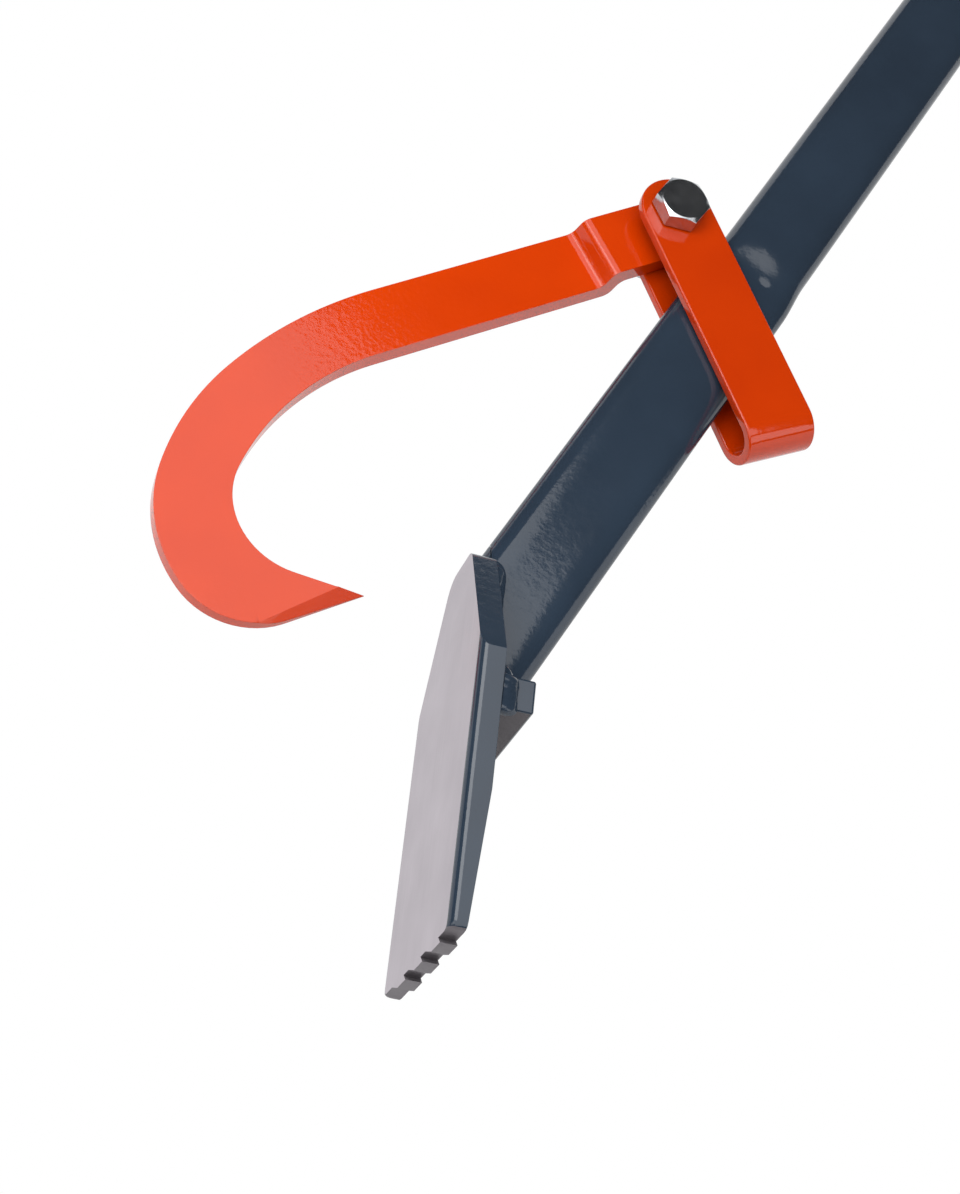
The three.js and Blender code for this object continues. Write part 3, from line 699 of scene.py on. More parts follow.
def new_object(name: str, data: bpy.types.ID) -> Object:
    """Adds an object with its data to the scene.

    Args:
        name: the object's name.
        data: its mesh, light or camera.

    Returns:
        The object, at the origin.
    """
    obj = bpy.data.objects.new(name, data)
    bpy.context.scene.collection.objects.link(obj)
    return obj


def mesh_object(name: str, bm: BMesh, materials: Sequence[Material]) -> Object:
    """Turns a finished mesh into an object.

    Args:
        name: the object's name.
        bm: the mesh, which is used up.
        materials: its materials.

    Returns:
        The object.
    """
    mesh = bpy.data.meshes.new(name)
    bm.to_mesh(mesh)
    bm.free()
    for material in materials:
        mesh.materials.append(material)
    return new_object(name, mesh)


@dataclass
class Piece(ABC):
    """One visible piece: builds its mesh, takes its finish and rides its body."""

    name: str
    body: Body
    slot: Slot
    finish: Finish
    nodes: tuple[str, ...]
    more_finishes: tuple[Finish, ...] = ()

    @abstractmethod
    def shape(self, bm: BMesh) -> None:
        """Fills an empty mesh in the part's frame."""

    def choose_finish(self, face: BMFace) -> int:
        """Index of a face's finish, 0 for the main one."""
        return 0

    def build(self) -> Object:
        """Builds the object, its materials and its ties to the part.

        Returns:
            The new object.
        """
        bm = bmesh.new()
        self.shape(bm)
        bmesh.ops.recalc_face_normals(bm, faces=bm.faces[:])
        bm.normal_update()
        for face in bm.faces:
            face.material_index = self.choose_finish(face)
            face.smooth = True
        for edge in bm.edges:
            edge.smooth = len(edge.link_faces) != 2 or edge.calc_face_angle(0.0) < CREASE_TURN
        finishes = (self.finish, *self.more_finishes)
        obj = mesh_object(self.name, bm, [material_of(finish) for finish in finishes])
        obj.modifiers.new("flat_faces_stay_flat", "WEIGHTED_NORMAL").keep_sharp = True
        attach(obj, self.body.value)
        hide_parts(*self.nodes)
        LOG.info("%s: %d faces on body %s", self.name, len(obj.data.polygons), self.body.value)
        return obj


# Lever


def oval_ring(x: float, width: float, depth: float) -> Ring:
    """Flat-oval section across the lever.

    Args:
        x: its place along the lever.
        width: its size along Y.
        depth: its size along Z.

    Returns:
        The section's points, 15 on each half circle and 19 on each flat side.
    """
    radius = depth / 2.0
    flat = width / 2.0 - radius
    points: Ring = []
    for centre, start in ((flat, -QUARTER_TURN), (-flat, QUARTER_TURN)):
        for angle in spread(start, start + math.pi, 14):
            points.append(Vector((x, centre + radius * math.cos(angle), radius * math.sin(angle))))
        side = math.copysign(radius, centre)
        points += [Vector((x, y, side)) for y in spread(centre, -centre, 20)[1:-1]]
    return points


def tube_section(x: float, grow: float = 0.0) -> Ring:
    """Section of the lever tube's skin at a place, crowned and with the dimple.

    Args:
        x: the place along the lever.
        grow: how far outside the skin.

    Returns:
        The section's points.
    """
    share = (x - TUBE.shoulder_start) / TUBE.shoulder_length
    rise = smooth_share(share)
    width = TUBE.low_width + (TUBE.high_width - TUBE.low_width) * rise
    depth = TUBE.low_depth + (TUBE.high_depth - TUBE.low_depth) * rise
    ring = oval_ring(x, width + 2.0 * grow, depth + 2.0 * grow)
    dimple_x, dimple_y, dimple_radius, dimple_depth = TUBE.dimple
    for point in ring:
        bow = (2.0 * point.y / width) ** 2
        side = max(0.0, (math.sqrt(bow) - TUBE.crown_start) / (1.0 - TUBE.crown_start))
        crown = TUBE.high_crown * rise * bow + TUBE.low_crown * (1.0 - rise) * side**2
        point.z *= 1.0 - min(0.5, crown)
        if 0.0 <= share <= 1.0:
            point.x += TUBE.shoulder_bow * (1.0 - bow)
        if point.z > 0.0:
            away = math.hypot(point.x - dimple_x, point.y - dimple_y) / dimple_radius
            point.z -= dimple_depth * smooth_share(1.0 - away)
    return ring


class LeverTube(Piece):
    """Round tube pressed flat-oval, with the shoulder that stops the bracket."""

    def shape(self, bm: BMesh) -> None:
        """Skins the tube and cuts its foot end to the plate and the heel bar.

        Args:
            bm: the empty mesh to fill.
        """
        start = TUBE.shoulder_start
        end = start + TUBE.shoulder_length
        # the stations stand closer near the shoulder, where the section changes
        lead, bowed, tail = 10 * MM, 4 * MM, 20 * MM
        stations = spread(TUBE.uncut_start, start - lead, 24)[:-1] + spread(start - lead, start, 8)[:-1]
        stations += spread(start, end, 20) + spread(end + bowed, end + tail, 16)
        stations += spread(end + tail, TUBE.end_x, 29)[1:]
        skin(bm, [tube_section(x) for x in stations])
        cut_away(bm, FOOT_OUT * -(FOOT.thickness + SEAT_GAP), FOOT_OUT)
        cut_away(bm, FOOT_DOWN * (FOOT.heel_start - SEAT_GAP), FOOT_DOWN)


class FootPlate(Piece):
    """Toothed foot plate: bare ground face and tip, painted sides and back."""

    def outline(self, half_width: float) -> list[Point]:
        """Plate outline down the plate and across it, held to a width.

        Args:
            half_width: half the width that this level of the rolled bar has.

        Returns:
            The outline's points.
        """
        taper = Vector((FOOT.taper_start - FOOT.top, FOOT.half_width - FOOT.top_half_width))
        side_x = FOOT.taper_start - (FOOT.half_width - half_width) * taper.x / taper.y
        top, inner = FOOT.top, FOOT.top_half_width
        sides = []
        for rounding in (FOOT.near_rounding, FOOT.far_rounding):
            lead = taper.normalized() * rounding
            corner = ((top, inner - rounding), (top, inner), (top + lead.x, inner + lead.y))
            sides.append(curve(*map(Vector, corner), 6))
        near, far = sides
        bottom = FOOT.tip - FOOT.tooth_depth
        soft = FOOT.corner_rounding
        corner = ((bottom, half_width - soft), (bottom, half_width), (bottom - soft, half_width))
        low = curve(*map(Vector, corner), 4)
        mirrored = [*far, (side_x, half_width), *reversed(low)]
        points = near[::-1] + [(x, -y) for x, y in mirrored]
        for index in reversed(range(FOOT.tooth_count)):
            start = FOOT.tooth_first - FOOT.tooth_pitch * index
            end = start - FOOT.tooth_land
            points += [(bottom, end - FOOT.tooth_slope), (FOOT.tip, end), (FOOT.tip, start),
                       (bottom, start - FOOT.tooth_undercut)]
        return points + low + [(side_x, half_width)]

    def shape(self, bm: BMesh) -> None:
        """Skins the rolled bar's levels, grinds the tip's back and breaks the cut edges.

        Args:
            bm: the empty mesh to fill.
        """
        radius = FOOT.edge_radius
        levels = [(-FOOT.thickness, FOOT.half_width)]
        for angle in spread(0.0, QUARTER_TURN, 6):
            half = FOOT.half_width - radius * (1.0 - math.cos(angle))
            levels.append((radius * (math.sin(angle) - 1.0), half))
        skin(bm, [[Vector((x, y, z)) for x, y in self.outline(half)] for z, half in levels])
        bmesh.ops.recalc_face_normals(bm, faces=bm.faces[:])
        slope = (FOOT.thickness - FOOT.tip_thickness) / FOOT.tip_bevel_length
        start = Vector((FOOT.tip - FOOT.tip_bevel_length, 0.0, -FOOT.thickness))
        cut_away(bm, start, Vector((slope, 0.0, -1.0)).normalized())
        # the ground face and the tip keep crisper edges than the sawn back
        sharp = sharp_edges(bm, SHARP_TURN)
        tip = FOOT.tip - FOOT.tooth_depth - 0.01 * MM
        crisp = [
            edge for edge in sharp
            if min(v.co.x for v in edge.verts) > tip or min(v.co.z for v in edge.verts) > -0.001 * MM
        ]
        blunt = [edge for edge in sharp if edge not in crisp]
        round_edges(bm, blunt, FOOT.blunt_edge)
        round_edges(bm, [edge for edge in crisp if edge.is_valid], FOOT.crisp_edge, 2)
        bm.transform(FOOT_FRAME)

    def choose_finish(self, face: BMFace) -> int:
        """Bare steel on the working face and the tip, paint elsewhere.

        Args:
            face: the face.

        Returns:
            0 for paint, 1 for the ground face and 2 for the ground tip.
        """
        ground_depth, tip_ground = 0.02 * MM, 0.5 * MM
        centre = FOOT_FRAME.inverted() @ face.calc_center_median()
        if centre.z > -ground_depth:
            return 1
        return 2 if centre.x > FOOT.tip - FOOT.tooth_depth - tip_ground else 0


class HeelBar(Piece):
    """Square bar across the back of the foot, sawn to length and painted."""

    # the side that faces the tip takes a lighter grey steel: partly worn bare, partly a painted reflection
    # of the white floor
    wear_and_reflection_facing: ClassVar[float] = 0.98

    def shape(self, bm: BMesh) -> None:
        """Builds the bar with rounded rolled edges.

        Args:
            bm: the empty mesh to fill.
        """
        top = -FOOT.thickness - SEAT_GAP
        low = top - FOOT.heel_size
        half = FOOT.heel_length / 2.0
        start, end = FOOT.heel_start, FOOT.heel_start + FOOT.heel_size
        square = [(start, low), (end, low), (end, top), (start, top)]
        skin(bm, [[Vector((x, across, z)) for x, z in square] for across in spread(-half, half, 12)])
        round_edges(bm, sharp_edges(bm, SHARP_TURN), FOOT.heel_edge)
        bm.transform(FOOT_FRAME)

    def choose_finish(self, face: BMFace) -> int:
        """Lighter grey steel, 1, on the side that faces the tip, partly worn bare and partly a painted
        reflection of the white floor, and paint elsewhere.
        """
        return 1 if face.normal.dot(FOOT_DOWN) > self.wear_and_reflection_facing else 0


@dataclass
class WeldBead(Piece):
    """Fillet bead with overlapping ripples, painted over."""

    origin: Vector = field(default_factory=Vector)
    run: Vector = field(default_factory=Vector)
    leg: Vector = field(default_factory=Vector)
    leg_size: float = 4.5 * MM
    rise_share: float = 1.0
    ripple: float = 0.45 * MM
    ripple_pitch: float = 4.0 * MM
    station_pitch: float = 0.5 * MM
    drift_size: float = 9.0 * MM
    lump_size: float = 5.0 * MM

    def shape(self, bm: BMesh) -> None:
        """Skins the bead along its run, with a ripple and a little wander.

        Args:
            bm: the empty mesh to fill.
        """
        length = self.run.length
        stations = spread(0.0, length, max(12, int(length / self.station_pitch)))
        skin(bm, [self._ring(x) for x in stations])
        bm.transform(placement(self.origin, self.run.normalized(), self.leg))

    def _ring(self, x: float) -> Ring:
        """One section of the bead: uneven ripples, smaller towards the bead's rounded ends.

        Args:
            x: its place along the run.

        Returns:
            The section's points.
        """
        # the drift shifts the ripples and swells them, and the lumps roughen each one
        drift = noise.noise(Vector((x / self.drift_size, 3.1, self.leg_size / MM)))
        phase = x / self.ripple_pitch + 0.7 * drift
        wave = (abs(math.sin(math.pi * phase)) ** 0.8 - 0.5) * (0.55 + 0.6 * drift)
        near_end = min(x, self.run.length - x) / (0.9 * self.leg_size)
        fade = math.sqrt(max(0.0, 1.0 - (1.0 - min(1.0, near_end)) ** 2))
        leg = self.leg_size * (0.4 + 0.6 * fade)
        points: Ring = [Vector((x, 0.0, 0.0))]
        for angle in spread(0.0, QUARTER_TURN, 8):
            # a face between the flat one of a mitre and a full round
            straight = 1.0 / (math.cos(angle) + math.sin(angle))
            reach = straight + (1.0 - straight) * 0.6
            lump = noise.noise(Vector((x / self.lump_size, angle * 2.0, leg / MM)))
            size = leg + self.ripple * (wave + 0.9 * lump) * math.sin(2.0 * angle + 0.35)
            size = min(size, leg + self.ripple) * reach
            points.append(Vector((x, size * math.cos(angle), size * self.rise_share * math.sin(angle))))
        return points


class TopWeld(Piece):
    """Weld that closes the tube's cut corner over the plate's top edge."""

    def shape(self, bm: BMesh) -> None:
        """Takes the tube's own skin on past its cut, as a rounded lump.

        Args:
            bm: the empty mesh to fill.
        """
        skin(bm, [tube_section(x) for x in spread(*FOOT.top_weld_run, 40)])
        low = FOOT_OUT * -FOOT.thickness
        cut_away(bm, low, -FOOT_OUT)
        cut_away(bm, low + FOOT_OUT * FOOT.top_weld_rise, FOOT_OUT)
        cut_away(bm, FOOT_DOWN * (FOOT.top - SEAT_GAP), FOOT_DOWN)
        round_edges(bm, sharp_edges(bm, CUT_TURN), FOOT.top_weld_edge)


class GripSleeve(Piece):
    """Ribbed rubber sleeve pushed over the handle end."""

    def shape(self, bm: BMesh) -> None:
        """Skins the ribs and lips, outside and inside.

        Args:
            bm: the empty mesh to fill.
        """
        start, end = TUBE.end_x - GRIP.length, TUBE.end_x
        rib_steps = 12
        count = max(1, round((GRIP.length - 2.0 * GRIP.lip) / GRIP.rib_pitch)) * rib_steps
        lip, edge = GRIP.thickness + GRIP.rib_height, GRIP.lip_edge
        outer = [(start, lip - edge), (start + edge, lip)]
        for index, x in enumerate(spread(start + GRIP.lip, end - GRIP.lip, count)):
            wave = 0.5 + 0.5 * math.cos(FULL_TURN * index / rib_steps)
            outer.append((x, GRIP.thickness + GRIP.rib_height * wave**0.6))
        outer += [(end - edge, lip), (end, lip - edge)]
        inner = [(end, 0.0), (start, 0.0)]
        skin(bm, [tube_section(x, SEAT_GAP + rise) for x, rise in outer + inner], Ends.LOOP)


class EndPlug(Piece):
    """Plastic plug with a stepped flange over the tube's open end."""

    def shape(self, bm: BMesh) -> None:
        """Skins the flange and its short skirt.

        Args:
            bm: the empty mesh to fill.
        """
        face = TUBE.end_x + SEAT_GAP
        lip = SEAT_GAP + GRIP.thickness + GRIP.rib_height
        crown = face + GRIP.plug_flange
        skirt = -TUBE.wall - SEAT_GAP
        root, edge = TUBE.end_x - GRIP.plug_skirt, GRIP.plug_edge
        # the skirt's tapered lead, the flange's broken edge and its domed outer rim
        stations = [
            (root, skirt - 0.6 * MM), (root + 1.0 * MM, skirt), (face, skirt), (face, lip - edge),
            (face + edge, lip), (crown - 1.4 * MM, lip), (crown - 0.4 * MM, lip - edge),
            (crown, lip - 1.8 * MM),
        ]
        skin(bm, [tube_section(x, grow) for x, grow in stations])


# Pivot


def polar(radius: float, angle: float, height: float) -> Vector:
    """Point about the bolt's axis."""
    return Vector((radius * math.cos(angle), radius * math.sin(angle), height))


def circle_ring(radius: float, height: float, steps: int = 72) -> Ring:
    """Ring of a circle about the bolt's axis."""
    return [polar(radius, angle, height) for angle in spread(0.0, FULL_TURN, steps)[:-1]]


def hex_ring(height: float, shrink: float = 0.0, crown: float = 0.0, fall: float = 0.0) -> Ring:
    """Ring of the hexagon's outline, with a corner at 0 and 72 points.

    Args:
        height: its height, up to the chamfer's circle.
        shrink: how far inside the outline.
        crown: radius of the chamfer's circle.
        fall: how steeply the height falls past that circle.

    Returns:
        The ring.
    """
    points: Ring = []
    for angle in spread(0.0, FULL_TURN, 72)[:-1]:
        radius = PIVOT.flat / math.cos(angle % (math.pi / 3.0) - math.pi / 6.0)
        points.append(polar(radius - shrink, angle, height - fall * max(0.0, radius - crown)))
    return points


class PivotBolt(Piece):
    """Hexagon bolt: chamfered bare head, plain shank and a threaded end."""

    def shape(self, bm: BMesh) -> None:
        """Skins the head and the threaded shank.

        Args:
            bm: the empty mesh to fill.
        """
        seat, top = HEAD_SEAT, HEAD_SEAT + PIVOT.head_height
        crown, edge = PIVOT.flat * 0.95, 0.12 * MM
        # the washer face under the head, the flats, the chamfer and the slightly dished top
        skin(bm, [
            circle_ring(PIVOT.bolt_radius, seat + 0.2 * MM),
            circle_ring(PIVOT.flat * 0.93, seat),
            circle_ring(PIVOT.flat * 0.96, seat + 0.35 * MM),
            hex_ring(seat + 0.35 * MM, 0.15 * MM),
            hex_ring(seat + 0.5 * MM),
            hex_ring(top - edge, 0.0, crown, PIVOT.chamfer),
            hex_ring(top, edge, crown, PIVOT.chamfer),
            circle_ring(crown, top),
            circle_ring(crown * 0.96, top - 0.03 * MM),
            circle_ring(crown * 0.5, top - 0.05 * MM),
        ])
        skin(bm, self._shank())
        bm.transform(BOLT_FRAME)

    @staticmethod
    def _shank() -> list[Ring]:
        """Shank rings from the head to the end, cut by a helical thread over the nut's length.

        Returns:
            The rings.
        """
        end = NUT_END - PIVOT.past_nut
        start = NUT_TOP + PIVOT.thread_start
        pitch, steps = PIVOT.thread_pitch, 48
        rings = [circle_ring(PIVOT.bolt_radius, z, steps) for z in (HEAD_SEAT + 0.25 * MM, start + 0.1 * MM)]
        for z in spread(start, end, int((start - end) / (pitch / 6.0))):
            near_end = max(0.0, PIVOT.end_chamfer - (z - end))
            ring: Ring = []
            for angle in spread(0.0, FULL_TURN, steps)[:-1]:
                phase = (z / pitch + angle / FULL_TURN) % 1.0
                cut = abs(2.0 * phase - 1.0) * PIVOT.thread_depth
                ring.append(polar(PIVOT.bolt_radius - max(cut, near_end), angle, z))
            rings.append(ring)
        return rings


class Washer(Piece):
    """Stamped washer with one rounded rim."""

    def shape(self, bm: BMesh) -> None:
        """Spins the washer's section.

        Args:
            bm: the empty mesh to fill.
        """
        top = -STRAP.outer_half - SEAT_GAP
        low = top - PIVOT.washer_thickness
        outer, edge = PIVOT.washer_radius, PIVOT.washer_edge
        revolve(bm, [
            (BORE, low + edge), (BORE, top - 0.1 * MM), (BORE + 0.1 * MM, top), (outer - 0.15 * MM, top),
            (outer, top - 0.15 * MM), (outer, low + edge), (outer - edge * 0.3, low + edge * 0.3),
            (outer - edge, low), (BORE + edge, low), (BORE + edge * 0.3, low + edge * 0.3),
        ])
        bm.transform(BOLT_FRAME)


class LockNut(Piece):
    """Lock nut: hexagon chamfered at both ends with a rolled crown."""

    def shape(self, bm: BMesh) -> None:
        """Skins the nut from its bore over the hexagon to the crown and back.

        Args:
            bm: the empty mesh to fill.
        """
        top, end = NUT_TOP, NUT_END
        low = top - PIVOT.nut_height
        flank, rim, edge = PIVOT.flat * 0.94, PIVOT.crown_radius, 0.1 * MM
        pocket = rim - PIVOT.crown_wall
        floor = end + PIVOT.nylon_height + SEAT_GAP
        # the chamfered hexagon, the crown rolled over the nylon ring, its pocket and the bore
        skin(bm, [
            circle_ring(BORE + 0.5 * MM, top),
            circle_ring(flank, top),
            hex_ring(top, edge, flank, PIVOT.chamfer),
            hex_ring(top - edge, 0.0, flank, PIVOT.chamfer),
            hex_ring(low + edge, 0.0, flank, -PIVOT.chamfer),
            hex_ring(low, edge, flank, -PIVOT.chamfer),
            circle_ring(flank, low),
            circle_ring(rim + 0.3 * MM, low - 0.05 * MM),
            circle_ring(rim, low - 0.4 * MM),
            circle_ring(rim, end + 1.2 * MM),
            circle_ring(rim - 0.25 * MM, end + 0.45 * MM),
            circle_ring(rim - 0.6 * MM, end),
            circle_ring(pocket, end + 0.2 * MM),
            circle_ring(pocket, floor),
            circle_ring(BORE, floor),
            circle_ring(BORE, top - 0.5 * MM),
        ], Ends.LOOP)
        bm.transform(BOLT_FRAME)


@dataclass
class TurnedRing(Piece):
    """Plain turned ring with broken edges: the spacer sleeve and the nylon ring."""

    outer: float = 9.5 * MM
    low: float = 0.0
    high: float = 0.0

    def shape(self, bm: BMesh) -> None:
        """Spins the ring's section with its four corners rounded.

        Args:
            bm: the empty mesh to fill.
        """
        places = ((BORE, self.low), (self.outer, self.low), (self.outer, self.high), (BORE, self.high))
        corners = [Vector(place) for place in places]
        section: list[Point] = []
        for i, corner in enumerate(corners):
            back, ahead = (
                corner + (other - corner).normalized() * PIVOT.ring_edge
                for other in (corners[i - 1], corners[(i + 1) % 4])
            )
            section += curve(back, corner, ahead, 3)
        revolve(bm, section)
        bm.transform(BOLT_FRAME)


# Bracket and hook

BAR_STEPS = 6


def bar_section(a: Sequence[float], b: Sequence[float], c: Sequence[float], d: Sequence[float]) -> Ring:
    """Section of a flat bar: across its front face and back across its back face.

    Args:
        a: front face at the outer edge.
        b: front face at the inner edge.
        c: back face at the outer edge.
        d: back face at the inner edge.

    Returns:
        The section's points.
    """
    shares = spread(0.0, 1.0, BAR_STEPS)
    return [Vector(start).lerp(Vector(end), t) for start, end in ((a, b), (d, c)) for t in shares]


def eye_end(bm: BMesh, outline: Sequence[Point], centre: Vector, hole: float, heights: Point) -> None:
    """Eye end of a bar: both faces round the hole, its wall and the rim up to the open line.

    Args:
        bm: the mesh to add to.
        outline: points once round the hole, with the open line first.
        centre: the hole's centre.
        hole: the hole's radius.
        heights: low and high face.
    """
    rings = []
    for share in (0.0, 0.35, 1.0):
        ring = []
        for point in map(Vector, outline):
            ring.append((centre + (point - centre).normalized() * hole).lerp(point, share))
        rings.append(ring)
    low, high = ([[bm.verts.new((*point, z)) for point in ring] for ring in rings] for z in heights)
    for sheet in (low, high):
        for inner, outer in pairwise(sheet):
            band(bm, inner, outer)
    band(bm, high[0], low[0])
    band(bm, low[-1], high[-1], BAR_STEPS)


def eye_outline(radius: float, straight: float, shift: float) -> list[Point]:
    """Outline of an eye end: the open line, a short side, a half circle and a short side back.

    Args:
        radius: half the bar's width.
        straight: how far past the hole the line lies.
        shift: sideways shift of the bar.

    Returns:
        Points once round, starting at the line's low end.
    """
    line = [(straight, y) for y in spread(shift - radius, shift + radius, BAR_STEPS)]
    side = spread(0.0, straight, 3)[1:-1]
    arc = [
        (radius * math.cos(angle), shift + radius * math.sin(angle))
        for angle in spread(QUARTER_TURN, QUARTER_TURN + math.pi, 24)
    ]
    return line + [(x, shift + radius) for x in reversed(side)] + arc + [(x, shift - radius) for x in side]


class BracketStrap(Piece):
    """Flat bar bent into a U about the tube: round ends, rounded edges."""

    def shape(self, bm: BMesh) -> None:
        """Builds the bar flat, rounds its edges and bends it into the loop.

        Args:
            bm: the empty mesh to fill.
        """
        half, thick = STRAP.width / 2.0, STRAP.thickness / 2.0
        middle = STRAP.gap_half + thick
        total = 2.0 * STRAP.reach + math.pi * middle
        outline = eye_outline(half, STRAP.eye_length, 0.0)
        turned = [(total - x, -y) for x, y in outline]
        for points, centre in ((outline, (0.0, 0.0)), (turned, (total, 0.0))):
            eye_end(bm, points, Vector(centre), STRAP.hole_radius, (-thick, thick))
        leg = spread(STRAP.eye_length, STRAP.reach, 8)
        bend = spread(STRAP.reach, total - STRAP.reach, 28)[1:-1]
        skin(bm, [
            bar_section((x, -half, thick), (x, half, thick), (x, -half, -thick), (x, half, -thick))
            for x in leg + bend + [total - x for x in reversed(leg)]
        ], Ends.OPEN)
        merge(bm)
        round_edges(bm, sharp_edges(bm, CUT_TURN), STRAP.edge)
        self._bend(bm, middle, total)
        bm.transform(STRAP_FRAME)

    @staticmethod
    def _bend(bm: BMesh, middle: float, total: float) -> None:
        """Bends the flat bar round the loop's closed end.

        Args:
            bm: the flat bar.
            middle: radius of the bar's middle plane in the bend.
            total: length between the hole centres.
        """
        for vert in bm.verts:
            x, y, lift = vert.co
            if x <= STRAP.reach:
                vert.co = (x, y, middle + lift)
            elif x >= total - STRAP.reach:
                vert.co = (total - x, y, -middle - lift)
            else:
                angle, radius = (x - STRAP.reach) / middle, middle + lift
                vert.co = (STRAP.reach + radius * math.sin(angle), y, radius * math.cos(angle))


def bend_run(start: Point, bends: Sequence[Point], end_length: float, steps: int = 40) -> list[Vector]:
    """Points along a run of bends that starts along X.

    Args:
        start: the first point.
        bends: pairs of radius and turn.
        end_length: straight length after the last bend.
        steps: steps of each bend.

    Returns:
        The points.
    """
    points = [Vector(start)]
    heading = 0.0
    for radius, turn in bends:
        centre = points[-1] + Vector((-math.sin(heading), math.cos(heading))) * radius
        for angle in spread(heading, heading + turn, steps)[1:]:
            points.append(centre + Vector((math.sin(angle), -math.cos(angle))) * radius)
        heading += turn
    points.append(points[-1] + Vector((math.cos(heading), math.sin(heading))) * end_length)
    return points


def spaced(points: Sequence[Vector], count: int) -> list[Vector]:
    """Evenly spaced points along a line of points.

    Args:
        points: the line.
        count: how many points are wanted.

    Returns:
        The spaced points, with both ends.
    """
    lengths = [0.0]
    for a, b in pairwise(points):
        lengths.append(lengths[-1] + (b - a).length)
    result = []
    at = 0
    for want in spread(0.0, lengths[-1], count - 1):
        while at < len(points) - 2 and lengths[at + 1] < want:
            at += 1
        share = (want - lengths[at]) / (lengths[at + 1] - lengths[at])
        result.append(points[at].lerp(points[at + 1], min(1.0, share)))
    return result


def crossing(a: Vector, along_a: Vector, b: Vector, along_b: Vector) -> Vector:
    """Crossing of two lines in the plane, each given by a point and a direction."""
    return a + along_a * ((b - a).cross(along_b) / along_a.cross(along_b))


